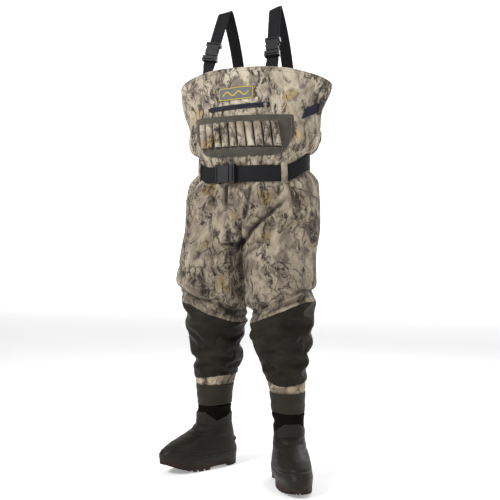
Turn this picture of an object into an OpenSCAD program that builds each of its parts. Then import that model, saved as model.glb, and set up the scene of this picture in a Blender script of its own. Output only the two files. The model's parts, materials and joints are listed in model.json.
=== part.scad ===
// Chest waders with boot feet, standing as worn.
// +Z up, the wearer's front faces -Y, the wearer's left is +X. Millimetres.
// The origin is on the ground under the middle of the whole garment.

/* [Garment] */
// Height of the bib's front hem at its middle
hem_front_z = 1271; // [1255:1:1285]
// How far the hem drops from the front middle to the side seams
hem_side_drop = 42; // [20:1:60]
// How far the hem drops again from the side seams to the back middle
hem_back_drop = 55; // [20:1:80]
// Height at which bib and trousers are sewn together
waist_z = 968; // [960:1:975]
// Cloth thickness, lining included
cloth = 3; // [2:0.5:4]
// Height of the camo and olive seam at the outer side of the legs
seam_outer_z = 566; // [556:1:576]
// Height of the same seam at the inner side of the legs
seam_inner_z = 500; // [490:1:510]

/* [Straps] */
// Width of the shoulder webbing
strap_w = 38; // [36:1:40]
// Thickness of all webbing
web_t = 2; // [1.5:0.1:2.2]
// Height at which the two runs of a strap would meet
apex_z = 1482; // [1475:1:1490]

/* [Belt] */
// Width of the belt webbing
belt_w = 50; // [44:1:50]
// Height of the belt's middle at the front
belt_front_z = 945; // [943:1:947]
// Height of the belt's middle at the sides and back
belt_side_z = 988; // [986:1:990]

/* [Chest] */
// Number of shell loops
loop_count = 10; // [6:1:10]
// Distance from one shell loop to the next
loop_pitch = 24.6; // [24:0.1:25]
// Height of a shell loop
loop_h = 74; // [50:1:80]

/* [Hidden] */

RIGHT = -1;
LEFT = 1;
FRONT = -1;
BACK = 1;
seam_gap = 0.3;
tuck = 1;
camo = [0.76, 0.71, 0.62];
olive = [0.22, 0.20, 0.16];
pocket_olive = [0.33, 0.32, 0.27];
web_black = [0.10, 0.10, 0.12];
plastic = [0.16, 0.16, 0.17];

// Torso stations: height, middle x, middle y, half width, half depth.
torso = [
  [1280, 0, -4, 238, 128],
  [1180, -3, 0, 224, 128],
  [1080, -6, 0, 210, 124],
  [1042, -6, 0, 194, 117],
  [1019, -6, 0, 177, 110],
  [990, -6, 0, 175, 108],
  [961, -6, 0, 177, 110],
  [932, -8, 0, 200, 118],
  [820, -12, 0, 224, 124],
  [700, -12, 0, 226, 122]
];
// Leg stations: height, middle x, middle y, half width, half depth, turn-out.
right_leg = [
  [800, -142, 6, 112, 116, 0],
  [700, -144, 10, 112, 116, 0],
  [627, -150, 18, 118, 118, 0],
  [560, -144, 26, 102, 104, 4],
  [500, -144, 32, 97, 99, 8],
  [449, -147, 40, 85, 92, 14],
  [377, -147, 50, 77, 82, 20],
  [301, -155, 58, 66, 71, 26],
  [271, -158, 60, 60, 65, 28],
  [208, -161, 65, 54, 58, 31],
  [170, -162, 67, 42, 52, 32],
  [130, -163, 68, 39, 49, 31]
];
left_leg = [
  [800, 82, -6, 112, 116, 0],
  [700, 84, -10, 112, 116, 0],
  [627, 89, -18, 110, 114, 0],
  [545, 97, -30, 98, 102, 4],
  [459, 95, -36, 94, 97, 9],
  [381, 107, -40, 72, 81, 13],
  [301, 114, -44, 60, 67, 16],
  [271, 117, -46, 56, 61, 17],
  [201, 121, -50, 50, 55, 19],
  [170, 122, -50, 43, 52, 20],
  [130, 122, -50, 39, 49, 20]
];
// Rows of facets lie closer together towards the waist.
row_crowding = 1.6;
crotch_top = 800;
crotch_bottom = 705;

cuff_top = 303;
gaiter_top = 272;
ankle_top = 214;
ankle_bottom = 132;

sole_t = 26;
insole_t = 4;
boot_wall = 4;
heel_slim = 0.9;
side_square = 0.82;
toe_square = 0.88;
boot_turn = [31, 23];
boot_at = [[-163, 68], [123, -50]];
// Boot stations: height, reach forward, reach back, half width.
boot = [
  [26, 212, 73, 53],
  [42, 215, 75, 55],
  [60, 209, 74, 55],
  [74, 195, 71, 53],
  [88, 170, 68, 51],
  [104, 131, 65, 48],
  [120, 92, 61, 45],
  [140, 63, 57, 43],
  [180, 58, 56, 44]
];

strap_foot_x = [-127, 90];
strap_foot_z = 1270;
strap_apex = [[-88, -33, apex_z + 3], [74, -33, apex_z + 4]];
strap_bow = [[-78, 92, 1330], [90, 92, 1330]];
strap_tail = [[-74, 103, 1150], [90, 102, 1150]];
tab_sewn_z = 1226;
tab_gap = 0.6;
pocket_top = 1122;
pocket_bottom = 1000;
mouth_at = 50;
buckle_w = 47;
belt_buckle_w = 60;
buckle_len = 44;
body_y0 = -14;
body_y1 = -2.6;
plate_t = 2.2;
prong_y = -9.9;
prong_t = 3.9;
ear_w = 3;
bar_t = 1.8;
strap_bar_y = 2.4;
belt_female_bar_y = 5.6;
belt_male_bar_y = 2.9;
belt_off = 6;
belt_gap_start = -23;
belt_gap_end = -11.2;
arc_axis_x = -6;
belt_arc_y = 173;
belt_buckle_turn = -8.4;
zip_axis_x = -3;
zip_arc_y = 247;
zip_r = 376;
zip_z = 1150;
zip_slope = 2.5;
zip_start = -17.5;
zip_end = 12.5;
axle_y = -4.9;
axle_z = 0.5;
middle_shift = [29.7, 55.2, 0];

function mix(a, b, w) = a + (b - a) * w;
function clamp01(w) = min(1, max(0, w));
function smooth(w) = clamp01(w) * clamp01(w) * (3 - 2 * clamp01(w));
function column(rows, z, k) = lookup(z, [for (r = rows) [r[0], r[k]]]);
function index(side) = side < 0 ? 0 : 1;
function leg_rows(side) = side < 0 ? right_leg : left_leg;

// The waist narrows along the belt, which dips at the front.
function belt_mid_z(s, face) =
  face < 0 ? mix(belt_front_z, belt_side_z, smooth((abs(s) - 0.42) / 0.55)) : belt_side_z;
function waist_shift(s, z, face) = (990 - belt_mid_z(s, face)) * clamp01(1.3 - abs(z - 960) / 200);

// A point of the torso: s runs from -1 at the right side seam to 1 at the left one.
function torso_point(s, face, z, d) =
  let (zs = z + waist_shift(s, z, face))
  [
    column(torso, zs, 1) + (column(torso, zs, 3) - d) * sin(90 * s),
    column(torso, zs, 2) + face * (seam_gap + (column(torso, zs, 4) - d) * cos(90 * s)),
    z
  ];

// A point of one leg: t runs from 0 at the inner seam to 1 at the outer seam.
function leg_point(side, face, t, z, d) =
  let (rows = leg_rows(side), turn = -side * -column(rows, z, 5))
  let (px = -side * (column(rows, z, 3) - d) * cos(180 * t))
  let (py = face * (seam_gap + (column(rows, z, 4) - d) * sin(180 * t)))
  [
    column(rows, z, 1) + px * cos(turn) - py * sin(turn),
    column(rows, z, 2) + px * sin(turn) + py * cos(turn),
    z
  ];

// Hips turn into legs between the crotch's top and bottom.
function trouser_point(side, face, t, z, d) =
  let (w = smooth((crotch_top - z) / (crotch_top - crotch_bottom)))
  mix(torso_point(side * t, face, z, d) + [side * seam_gap, 0, 0], leg_point(side, face, t, z, d), w);

function hem_z(s, face) =
  face < 0 ? hem_front_z - hem_side_drop * s * s
           : hem_front_z - hem_side_drop - hem_back_drop * (1 - s * s);
function seam_z(t) = mix(seam_inner_z, seam_outer_z, smooth(t * 1.2 - 0.1));

// A closed sheet with thickness. f(u, v, k) gives the outer face at k = 0 and the inner one at k = 1.
module sheet(f, nu, nv, flip = false) {
  n = (nu + 1) * (nv + 1);
  pts = [for (k = [0, 1]) for (j = [0 : nv]) for (i = [0 : nu]) f(i / nu, j / nv, k)];
  at = function (i, j, k) k * n + j * (nu + 1) + i;
  quads = [
    for (j = [0 : nv - 1]) for (i = [0 : nu - 1])
      [at(i, j, 0), at(i + 1, j, 0), at(i + 1, j + 1, 0), at(i, j + 1, 0)],
    for (j = [0 : nv - 1]) for (i = [0 : nu - 1])
      [at(i, j, 1), at(i, j + 1, 1), at(i + 1, j + 1, 1), at(i + 1, j, 1)],
    for (i = [0 : nu - 1]) [at(i, 0, 0), at(i, 0, 1), at(i + 1, 0, 1), at(i + 1, 0, 0)],
    for (i = [0 : nu - 1]) [at(i, nv, 0), at(i + 1, nv, 0), at(i + 1, nv, 1), at(i, nv, 1)],
    for (j = [0 : nv - 1]) [at(0, j, 0), at(0, j + 1, 0), at(0, j + 1, 1), at(0, j, 1)],
    for (j = [0 : nv - 1]) [at(nu, j, 0), at(nu, j, 1), at(nu, j + 1, 1), at(nu, j + 1, 0)]
  ];
  tris = [for (q = quads) each [[q[0], q[1], q[2]], [q[0], q[2], q[3]]]];
  polyhedron(pts, flip ? [for (q = tris) [q[2], q[1], q[0]]] : tris);
}

// A closed sleeve with thickness. f(a, v, k) takes an angle a that runs once round.
module sleeve(f, na, nv) {
  n = na * (nv + 1);
  pts = [for (k = [0, 1]) for (j = [0 : nv]) for (i = [0 : na - 1]) f(360 * i / na, j / nv, k)];
  at = function (i, j, k) k * n + j * na + (i % na);
  quads = [
    for (j = [0 : nv - 1]) for (i = [0 : na - 1])
      [at(i, j, 0), at(i, j + 1, 0), at(i + 1, j + 1, 0), at(i + 1, j, 0)],
    for (j = [0 : nv - 1]) for (i = [0 : na - 1])
      [at(i, j, 1), at(i + 1, j, 1), at(i + 1, j + 1, 1), at(i, j + 1, 1)],
    for (i = [0 : na - 1]) [at(i, 0, 0), at(i + 1, 0, 0), at(i + 1, 0, 1), at(i, 0, 1)],
    for (i = [0 : na - 1]) [at(i, nv, 0), at(i, nv, 1), at(i + 1, nv, 1), at(i + 1, nv, 0)]
  ];
  polyhedron(pts, [for (q = quads) each [[q[2], q[1], q[0]], [q[3], q[2], q[0]]]]);
}

module bib(face) {
  color(camo)
    sheet(
      function (u, v, k)
        let (s = 2 * u - 1, z = mix(hem_z(s, face), waist_z + seam_gap, 1 - pow(1 - v, row_crowding)))
        torso_point(s, face, z, cloth * k),
      24, 12, face > 0);
}

module trouser(side, face) {
  color(camo)
    sheet(
      function (u, v, k)
        let (z = mix(waist_z - seam_gap, seam_z(u) + seam_gap, pow(v, row_crowding)))
        trouser_point(side, face, u, z, cloth * k),
      12, 16, side * face > 0);
}

module shin(side, face) {
  color(olive)
    sheet(
      function (u, v, k) leg_point(side, face, u, mix(seam_z(u) - seam_gap, cuff_top - 12, v), cloth * k),
      12, 8, side * face > 0);
}

// A sleeve round one leg between two heights, set in from the leg's surface.
function ring_point(side, a, z, d) =
  let (rows = leg_rows(side), turn = side * column(rows, z, 5))
  let (px = (column(rows, z, 3) - d) * cos(a), py = (column(rows, z, 4) - d) * sin(a))
  [
    column(rows, z, 1) + px * cos(turn) - py * sin(turn),
    column(rows, z, 2) + px * sin(turn) + py * cos(turn),
    z
  ];

module leg_sleeve(side, top, bottom, inset, wall) {
  sleeve(function (a, v, k) ring_point(side, a, mix(top, bottom, v), inset + wall * k), 28, 3);
}

module cuff(side) {
  color(camo) leg_sleeve(side, cuff_top, gaiter_top - 10, cloth + tuck, 2);
}

module gaiter(side) {
  color([0.28, 0.27, 0.23]) leg_sleeve(side, gaiter_top, ankle_top - 12, 0, 2.5);
}

module ankle(side) {
  color([0.07, 0.06, 0.05]) leg_sleeve(side, ankle_top, ankle_bottom, 4.5, 4);
}

// The boot's section is long to the toe, short to the heel.
function boot_point(a, z, d) =
  let (reach = (cos(a) > 0 ? column(boot, z, 1) : column(boot, z, 2)) - d)
  let (slim = mix(heel_slim, 1, max(smooth(cos(a) + 0.2), smooth((z - 90) / 30))))
  [
    (column(boot, z, 3) - d) * slim * square_off(sin(a), side_square),
    -reach * square_off(cos(a), toe_square),
    z
  ];
// Pushes a sine towards a fuller, squarer outline.
function square_off(w, power) = sign(w) * pow(abs(w), power);
function boot_rim_z(a) = 150 + 24 * smooth(cos(a)) + 12 * smooth(-cos(a));

module place_boot(side) {
  at = boot_at[index(side)];
  translate([at[0], at[1], 0]) rotate([0, 0, side * boot_turn[index(side)]]) children();
}

module boot_upper(side) {
  color([0.22, 0.21, 0.18]) place_boot(side)
    sleeve(
      function (a, v, k) boot_point(a, mix(boot_rim_z(a), sole_t, v), boot_wall * k),
      36, 12);
}

module sole_outline(grow) {
  polygon([
    for (a = [0 : 8 : 352])
      let (p = boot_point(a, 30, -grow), waist = smooth(1 - abs(p[1] + 25) / 60) * 7)
      [p[0] - sign(p[0]) * waist, p[1]]
  ]);
}

module outsole(side) {
  color([0.24, 0.18, 0.15]) place_boot(side)
    difference() {
      linear_extrude(sole_t) sole_outline(3);
      // The arch stands clear of the ground.
      translate([-80, -50, -1]) cube([160, 62, 10]);
      // Lug grooves across the ball and heel.
      for (i = [0 : 6]) translate([-80, -190 + i * 19, -1]) cube([160, 6, 6]);
      for (i = [0 : 2]) translate([-80, 26 + i * 16, -1]) cube([160, 5, 6]);
    }
}

module insole(side) {
  color([0.30, 0.30, 0.32]) place_boot(side)
    translate([0, 0, sole_t]) linear_extrude(insole_t) sole_outline(-boot_wall - 6);
}

// Flat work on the bib's front: x is measured across the front, d is how far it stands off.
function chest_s(x, z) =
  let (zs = z + waist_shift(0, z, FRONT))
  asin((x - column(torso, zs, 1)) / column(torso, zs, 3)) / 90;
function chest_point(x, z, d) = torso_point(chest_s(x, z), FRONT, z, -d);

module chest_sheet(x0, x1, z0, z1, low, high, nu, nv, sag = 0) {
  sheet(
    function (u, v, k)
      let (x = mix(x0, x1, u), z = mix(z1, z0 - sag * sin(180 * u), v))
      chest_point(x, z, k == 0 ? high : low),
    nu, nv);
}

// How far the pocket's face stands off the bib: full in the middle, flat at its edges.
function pocket_lift(x, z) =
  let (u = clamp01((x + 165) / 310), v = clamp01((pocket_top - z) / (pocket_top - pocket_bottom)))
  3 + 9 * sin(180 * u) * smooth(v * 6) * smooth((1 - v) * 6);

module chest_pocket() {
  color(pocket_olive)
    sheet(
      function (u, v, k)
        let (half = 155 - 26 * pow(v, 4), x = -10 + mix(-half, half, u))
        let (z = mix(pocket_top, pocket_bottom, v))
        chest_point(x, z, k == 0 ? pocket_lift(x, z) : 1),
      20, 10);
}

module shell_panel() {
  color(camo)
    sheet(
      function (u, v, k)
        let (x = mix(-144, 112, u), z = mix(1108, 1018, v))
        chest_point(x, z, pocket_lift(x, z) + (k == 0 ? 2.6 : 0.6)),
      20, 8);
}

// Each loop is an arch of cloth, open above and below.
module shell_loops() {
  arch_w = 11.2;
  arch_h = 14;
  arch_wall = 1.4;
  mid = (loop_count - 1) / 2;
  color(camo)
    for (i = [0 : loop_count - 1])
      sheet(
        function (u, v, k)
          let (x0 = -16 + (i - mid) * loop_pitch, z = 1063 + loop_h * (0.5 - v))
          let (x = x0 - (arch_w - arch_wall * k) * cos(180 * u))
          chest_point(x, z, pocket_lift(x, z) + 3.4 + (arch_h - arch_wall * k) * sin(180 * u)),
        8, 5);
}

module badge() {
  color([0.42, 0.42, 0.42]) chest_sheet(-81, 32, 1166, 1208, 0.8, 3, 8, 2);
}

// Parts that follow the chest's round front.
module on_zip_arc() {
  translate([zip_axis_x, zip_arc_y, zip_z]) rotate([0, -zip_slope, 0]) children();
}

module zip_band(turn0, turn1, r0, r1, half_h) {
  rotate([0, 0, -90 + turn0])
    rotate_extrude(angle = turn1 - turn0, $fn = 360)
      translate([r0, -half_h]) square([r1 - r0, 2 * half_h]);
}

module zip_tape() {
  color([0.16, 0.16, 0.22]) on_zip_arc() zip_band(zip_start, zip_end, zip_r, zip_r + 1.6, 6.5);
}

module on_zip_slider() {
  on_zip_arc() rotate([0, 0, zip_end - 1.6]) translate([0, -(zip_r + 2), 0]) children();
}

// The pull's eye hangs on a small axle between the slider's posts.
module zip_slider() {
  color([0.55, 0.55, 0.57]) on_zip_slider() {
    translate([-6, -2.2, -4]) cube([12, 2.2, 8]);
    for (x = [-3.1, 2.1]) translate([x, -6, -1]) cube([1, 4, 3]);
    translate([-3, axle_y, axle_z]) rotate([0, 90, 0]) cylinder(h = 6, r = 0.7, $fn = 32);
  }
}

module zip_pull() {
  color([0.70, 0.70, 0.72]) on_zip_slider() translate([0, axle_y, axle_z]) {
    difference() {
      union() {
        translate([-1.5, 0, 0]) rotate([0, 90, 0]) cylinder(h = 3, r = 1.9, $fn = 32);
        translate([-1.5, -0.8, -6]) cube([3, 1.6, 4.6]);
      }
      translate([-2, 0, 0]) rotate([0, 90, 0]) cylinder(h = 4, r = 1, $fn = 32);
    }
    translate([-3.5, -0.8, -17]) cube([7, 1.6, 11.4]);
  }
}

// A side-release buckle lies with its mouth at the origin, the female half up +Z and its face to -Y.
// bar_y is where the keeper bar behind the webbing starts.
module keeper(w, bar_y, z0) {
  ear_t = bar_y + bar_t - body_y1 + 0.2;
  for (x = [-w / 2, w / 2 - ear_w]) translate([x, body_y1 - 0.2, z0]) cube([ear_w, ear_t, 7]);
  translate([-w / 2, bar_y, z0]) cube([w, bar_t, 7]);
}

module buckle_female(w, bar_y) {
  plate_w = w - 8;
  top = 12;
  // Front and rear plates, open at the sides where the barbs sit.
  for (y = [body_y0, body_y1 - plate_t])
    translate([-plate_w / 2, y, 0]) cube([plate_w, plate_t, buckle_len - top]);
  difference() {
    translate([-w / 2, body_y0, buckle_len - top]) cube([w, body_y1 - body_y0, top]);
    translate([6 - w / 2, body_y0 - 1, buckle_len - 7]) cube([w - 12, 8.4, 3]);
  }
  keeper(w, bar_y, buckle_len - 10);
}

module buckle_male(w, bar_y) {
  socket_w = 6.8;
  // Base with a grip slot and a socket for each prong's root.
  difference() {
    translate([-w / 2, body_y0, -20]) cube([w, body_y1 - body_y0, 17]);
    translate([6 - w / 2, body_y0 - 1, -16]) cube([w - 12, 8.4, 3]);
    for (s = [-1, 1])
      translate([s * prong_x(w) - socket_w / 2, body_y0 + 2.6, -8]) cube([socket_w, 6.2, 6]);
  }
  // Guide tongue between the prongs.
  translate([-2.5, prong_y, -4]) cube([5, prong_t, 30]);
  keeper(w, bar_y, -18);
}

// A prong bends inwards about its root, at the base's socket.
module buckle_prong(w, s) {
  x = s * prong_x(w);
  translate([x - 2.2, prong_y, -6]) cube([4.4, prong_t, 34]);
  // The barb faces outwards.
  hull() {
    translate([s > 0 ? x : x - 7, prong_y, 16]) cube([7, prong_t, 4]);
    translate([x - 2.2, prong_y, 27]) cube([4.4, prong_t, 1]);
  }
}
function prong_x(w) = w / 2 - 8;

// Frame of one shoulder strap: +Z runs up the strap, -Y faces out.
module on_strap(side) {
  d = strap_dir(side);
  translate(foot(side)) rotate([-asin(d[1]), atan2(d[0], d[2]), 0]) children();
}
function unit(v) = v / norm(v);
function foot(side) = chest_point(strap_foot_x[index(side)], strap_foot_z, -(cloth + tab_gap + web_t / 2));
function strap_dir(side) = unit(strap_apex[index(side)] - foot(side));
function back_dir(side) = unit(strap_bow[index(side)] - strap_apex[index(side)]);
function across(d) = unit([d[2], 0, -d[0]]);

// A curve from a to c, drawn towards b.
function bent(a, b, c, w) = (1 - w) * (1 - w) * a + 2 * w * (1 - w) * b + w * w * c;

// The strap's middle line: straight, round over the shoulder, then bowed down the wearer's back.
function strap_line(side, v) =
  let (a = foot(side) + strap_dir(side) * (mouth_at + 3))
  let (b = strap_apex[index(side)], m = strap_bow[index(side)], c = strap_tail[index(side)])
  let (b0 = b - strap_dir(side) * 34, b1 = b + back_dir(side) * 34)
  v < 0.3 ? mix(a, b0, v / 0.3) :
  v > 0.6 ? bent(b1, m, c, (v - 0.6) / 0.4) :
  bent(b0, b, b1, (v - 0.3) / 0.3);

module strap(side) {
  color(web_black)
    sheet(
      function (u, v, k)
        let (e = 0.002, t = unit(strap_line(side, min(1, v + e)) - strap_line(side, max(0, v - e))))
        let (w = unit(mix(across(strap_dir(side)), -across(back_dir(side)), smooth((v - 0.3) / 0.3))))
        let (n = unit(cross(w, t)))
        strap_line(side, v) + w * strap_w * (u - 0.5) + n * web_t * (0.5 - k),
      1, 40, true);
}

// The tab is sewn flat inside the bib, then turns to lie square to the strap.
module bib_tab(side) {
  reach = mouth_at - 3;
  color(web_black)
    sheet(
      function (u, v, k)
        let (x = strap_foot_x[index(side)] + strap_w * (u - 0.5), out = -(cloth + tab_gap + web_t * k))
        let (sewn = chest_point(x, mix(strap_foot_z, tab_sewn_z, 2 * v - 1), out))
        let (rise = reach * (1 - 2 * v))
        let (free = foot(side) + strap_dir(side) * rise + across(strap_dir(side)) * strap_w * (u - 0.5)
             + [0, -web_t * (0.5 - k), 0])
        let (low = chest_point(x, strap_foot_z, out) + strap_dir(side) * rise)
        v > 0.5 ? sewn : mix(low, free, smooth(rise / 22)),
      4, 16);
}

module belt_webbing() {
  rows = 46;
  color(web_black) {
    // The belt runs from the female half round the back to the male half.
    sheet(
      function (u, v, k)
        let (turn = mix(belt_gap_end, belt_gap_start + 360, u))
        belt_point(turn, belt_w * (0.5 - v), k == 0 ? web_t : 0),
      rows, 1);
  }
}
// turn 0 is the front middle, 90 the left side.
function belt_point(turn, up, out) =
  let (s = asin(sin(turn)) / 90, face = cos(turn) > 0 ? FRONT : BACK)
  let (p = torso_point(s, face, belt_mid_z(s, face), -belt_off - out))
  [p[0], p[1], p[2] + up];

// A loop's ends are sewn to the garment and its middle passes over the belt.
module belt_loop(turn) {
  reach = 34;
  stand = 4;
  sheet(
    function (u, v, k)
      let (a = turn + mix(-3.4, 3.4, u), up = reach * (1 - 2 * v), wall = k == 0 ? 1.6 : 0.2)
      let (s = asin(sin(a)) / 90, face = cos(a) > 0 ? FRONT : BACK)
      abs(up) > reach - 1
        ? torso_point(s, face, belt_mid_z(s, face) + up, -1.6 - wall)
        : belt_point(a, up, stand + wall),
    3, 8);
}

module belt_loops() {
  color(camo) for (turn = [-62, 42, 130, 230]) belt_loop(turn);
}

module on_belt_buckle() {
  r = belt_arc_y + column(torso, belt_side_z, 4) + belt_off + web_t / 2 + 1;
  translate([arc_axis_x, belt_arc_y, belt_front_z]) rotate([0, 0, belt_buckle_turn])
    translate([0, -r, 0]) rotate([0, -90, 0]) children();
}

module side_tab() {
  color([0.13, 0.14, 0.20])
    sheet(
      function (u, v, k)
        let (s = mix(0.66, 0.86, u), z = mix(1170, 1142, v) - 22 * u)
        torso_point(s, FRONT, z, k == 0 ? -3.2 : -1),
      6, 2);
}

module side_ladder() {
  color(plastic)
    sheet(
      function (u, v, k)
        let (s = mix(0.84, 0.9, u), z = mix(1156, 1114, v) - 4 * u)
        torso_point(s, FRONT, z, k == 0 ? -6.6 : -4),
      2, 4);
}

// Brings the middle of the whole garment over the origin.
module placed() {
  translate(middle_shift) children();
}

module belt_part() {
  color(plastic) placed() on_belt_buckle() children();
}

module strap_part(side) {
  color(plastic) placed() on_strap(side) translate([0, 0, mouth_at]) children();
}

placed() bib(FRONT);  // bib_front
placed() bib(BACK);  // bib_back
placed() trouser(RIGHT, FRONT);  // trouser_front_right
placed() trouser(LEFT, FRONT);  // trouser_front_left
placed() trouser(RIGHT, BACK);  // trouser_back_right
placed() trouser(LEFT, BACK);  // trouser_back_left
placed() shin(RIGHT, FRONT);  // shin_front_right
placed() shin(LEFT, FRONT);  // shin_front_left
placed() shin(RIGHT, BACK);  // shin_back_right
placed() shin(LEFT, BACK);  // shin_back_left
placed() cuff(RIGHT);  // cuff_right
placed() cuff(LEFT);  // cuff_left
placed() gaiter(RIGHT);  // gaiter_right
placed() gaiter(LEFT);  // gaiter_left
placed() ankle(RIGHT);  // ankle_right
placed() ankle(LEFT);  // ankle_left
placed() boot_upper(RIGHT);  // boot_right
placed() boot_upper(LEFT);  // boot_left
placed() outsole(RIGHT);  // outsole_right
placed() outsole(LEFT);  // outsole_left
placed() insole(RIGHT);  // insole_right
placed() insole(LEFT);  // insole_left
placed() chest_pocket();
placed() shell_panel();
placed() shell_loops();
placed() badge();
placed() zip_tape();
placed() zip_slider();
placed() zip_pull();
placed() belt_webbing();
placed() belt_loops();
belt_part() buckle_female(belt_buckle_w, belt_female_bar_y);  // belt_female
belt_part() buckle_male(belt_buckle_w, belt_male_bar_y);  // belt_male
belt_part() buckle_prong(belt_buckle_w, 1);  // belt_prong_upper
belt_part() buckle_prong(belt_buckle_w, -1);  // belt_prong_lower
placed() strap(RIGHT);  // strap_right
placed() strap(LEFT);  // strap_left
placed() bib_tab(RIGHT);  // bib_tab_right
placed() bib_tab(LEFT);  // bib_tab_left
strap_part(RIGHT) buckle_female(buckle_w, strap_bar_y);  // buckle_female_right
strap_part(LEFT) buckle_female(buckle_w, strap_bar_y);  // buckle_female_left
strap_part(RIGHT) buckle_male(buckle_w, strap_bar_y);  // buckle_male_right
strap_part(LEFT) buckle_male(buckle_w, strap_bar_y);  // buckle_male_left
strap_part(RIGHT) buckle_prong(buckle_w, -1);  // prong_right_outer
strap_part(RIGHT) buckle_prong(buckle_w, 1);  // prong_right_inner
strap_part(LEFT) buckle_prong(buckle_w, 1);  // prong_left_outer
strap_part(LEFT) buckle_prong(buckle_w, -1);  // prong_left_inner
placed() side_tab();
placed() side_ladder();
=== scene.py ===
"""Looks of a pair of chest waders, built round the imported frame. Metres, +Z up, front to -Y."""

import json
from functools import partial
from math import acos, asin, copysign, cos, exp, hypot, pi, radians, sin

import bpy
import numpy as np
from mathutils import Matrix, Vector, bvhtree, noise


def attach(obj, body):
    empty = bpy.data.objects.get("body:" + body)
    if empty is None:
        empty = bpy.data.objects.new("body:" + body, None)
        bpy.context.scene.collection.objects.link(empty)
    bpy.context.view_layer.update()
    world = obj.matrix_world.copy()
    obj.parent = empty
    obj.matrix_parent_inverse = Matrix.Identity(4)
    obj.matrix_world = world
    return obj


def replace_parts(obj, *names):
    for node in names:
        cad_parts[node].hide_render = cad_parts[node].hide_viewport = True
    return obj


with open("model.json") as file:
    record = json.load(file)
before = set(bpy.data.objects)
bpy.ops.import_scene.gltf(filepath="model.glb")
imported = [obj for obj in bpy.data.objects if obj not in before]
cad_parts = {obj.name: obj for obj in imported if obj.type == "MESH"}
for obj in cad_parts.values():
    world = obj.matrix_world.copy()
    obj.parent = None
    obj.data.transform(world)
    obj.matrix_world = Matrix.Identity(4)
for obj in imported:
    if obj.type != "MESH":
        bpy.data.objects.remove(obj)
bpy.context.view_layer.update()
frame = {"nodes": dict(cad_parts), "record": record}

MM = 0.001
RIGHT, LEFT = -1, 1
FRONT, BACK = -1, 1
SIDES, SIDE_NAME = (RIGHT, LEFT), {RIGHT: "right", LEFT: "left"}
FACES, FACE_NAME = (FRONT, BACK), {FRONT: "front", BACK: "back"}
MIDDLE = Vector((29.7, 55.2, 0)) * MM

# ---- the garment's form
# The same stations as the CAD model: height, middle x, middle y, half width, half depth.
TORSO = [
    (1280, 0, -4, 238, 128), (1180, -3, 0, 224, 128), (1080, -6, 0, 210, 124), (1042, -6, 0, 194, 117),
    (1019, -6, 0, 177, 110), (990, -6, 0, 175, 108), (961, -6, 0, 177, 110), (932, -8, 0, 200, 118),
    (820, -12, 0, 224, 124), (700, -12, 0, 226, 122),
]
# The same for each leg, and its turn-out in degrees.
LEGS = {
    RIGHT: [
        (800, -142, 6, 112, 116, 0), (700, -142, 10, 112, 116, 0), (627, -150, 18, 118, 118, 0),
        (560, -144, 26, 102, 104, 4), (500, -144, 32, 97, 99, 8), (449, -147, 40, 85, 92, 14),
        (377, -147, 50, 77, 82, 20), (301, -155, 58, 66, 71, 26), (271, -158, 60, 60, 65, 28),
        (208, -161, 65, 54, 58, 31), (170, -162, 67, 42, 52, 32), (130, -163, 68, 39, 49, 31),
    ],
    LEFT: [
        (800, 82, -6, 112, 116, 0), (700, 82, -10, 112, 116, 0), (627, 89, -18, 110, 114, 0),
        (545, 97, -30, 98, 102, 4), (459, 95, -36, 94, 97, 9), (381, 107, -40, 72, 81, 13),
        (301, 114, -44, 60, 67, 16), (271, 117, -46, 56, 61, 17), (201, 121, -50, 50, 55, 19),
        (170, 122, -50, 43, 52, 20), (130, 122, -50, 39, 49, 20),
    ],
}
MID_X, MID_Y, HALF_X, HALF_Y, TURN = 1, 2, 3, 4, 5
CROTCH_TOP, CROTCH_BOTTOM = 800, 705
WAIST_Z = 968
# The belt's height in the tables, and where it really runs in front and round the sides and back.
BELT_Z, BELT_FRONT_Z, BELT_SIDE_Z = 990, 945, 988
HEM_FRONT, HEM_SIDE_DROP, HEM_BACK_DROP = 1271, 42, 55
SEAM_INNER, SEAM_OUTER = 500, 566
GAITER_TOP, ANKLE_TOP, ANKLE_BOTTOM = 272, 214, 132
GAITER_BOTTOM = {RIGHT: 205, LEFT: 212}


def mix(a, b, w):
    return a + (b - a) * w


def clamp01(w):
    return min(1.0, max(0.0, w))


def smooth(w):
    w = clamp01(w)
    return w * w * (3 - 2 * w)


def bell(x, half):
    return exp(-((x / half) ** 2))


def band(z, low, high, edge):
    return smooth((z - low) / edge) * smooth((high - z) / edge)


def wobble(x, y, z):
    return noise.noise(Vector((x, y, z)))


def wobble_from(place, x, y, z):
    return noise.noise(place + Vector((x, y, z)))


def column(rows, z, k):
    """The station table's column k at height z."""
    return float(np.interp(z, [r[0] for r in rows][::-1], [r[k] for r in rows][::-1]))


def belt_mid_z(s, face):
    if face == BACK:
        return BELT_SIDE_Z
    return mix(BELT_FRONT_Z, BELT_SIDE_Z, smooth((abs(s) - 0.42) / 0.55))


def waist_shift(s, z, face):
    """How far up the tables to look, so that the waist follows the belt down in front."""
    return (BELT_Z - belt_mid_z(s, face)) * clamp01(1.3 - abs(z - 960) / 200)


def torso_mm(s, face, z, out=0.0):
    """A point of the torso in CAD millimetres: s is -1 to 1 from side to side, out how far it stands off."""
    zs = z + waist_shift(s, z, face)
    a = radians(90 * s)
    return Vector((
        column(TORSO, zs, MID_X) + (column(TORSO, zs, HALF_X) + out) * sin(a),
        column(TORSO, zs, MID_Y) + face * (column(TORSO, zs, HALF_Y) + out) * cos(a),
        z,
    ))


def turned(side, z, px, py):
    """A point px, py from a leg's middle, turned out as the leg is."""
    rows = LEGS[side]
    t = radians(side * column(rows, z, TURN))
    x, y = column(rows, z, MID_X), column(rows, z, MID_Y)
    return Vector((x + px * cos(t) - py * sin(t), y + px * sin(t) + py * cos(t), z))


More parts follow.
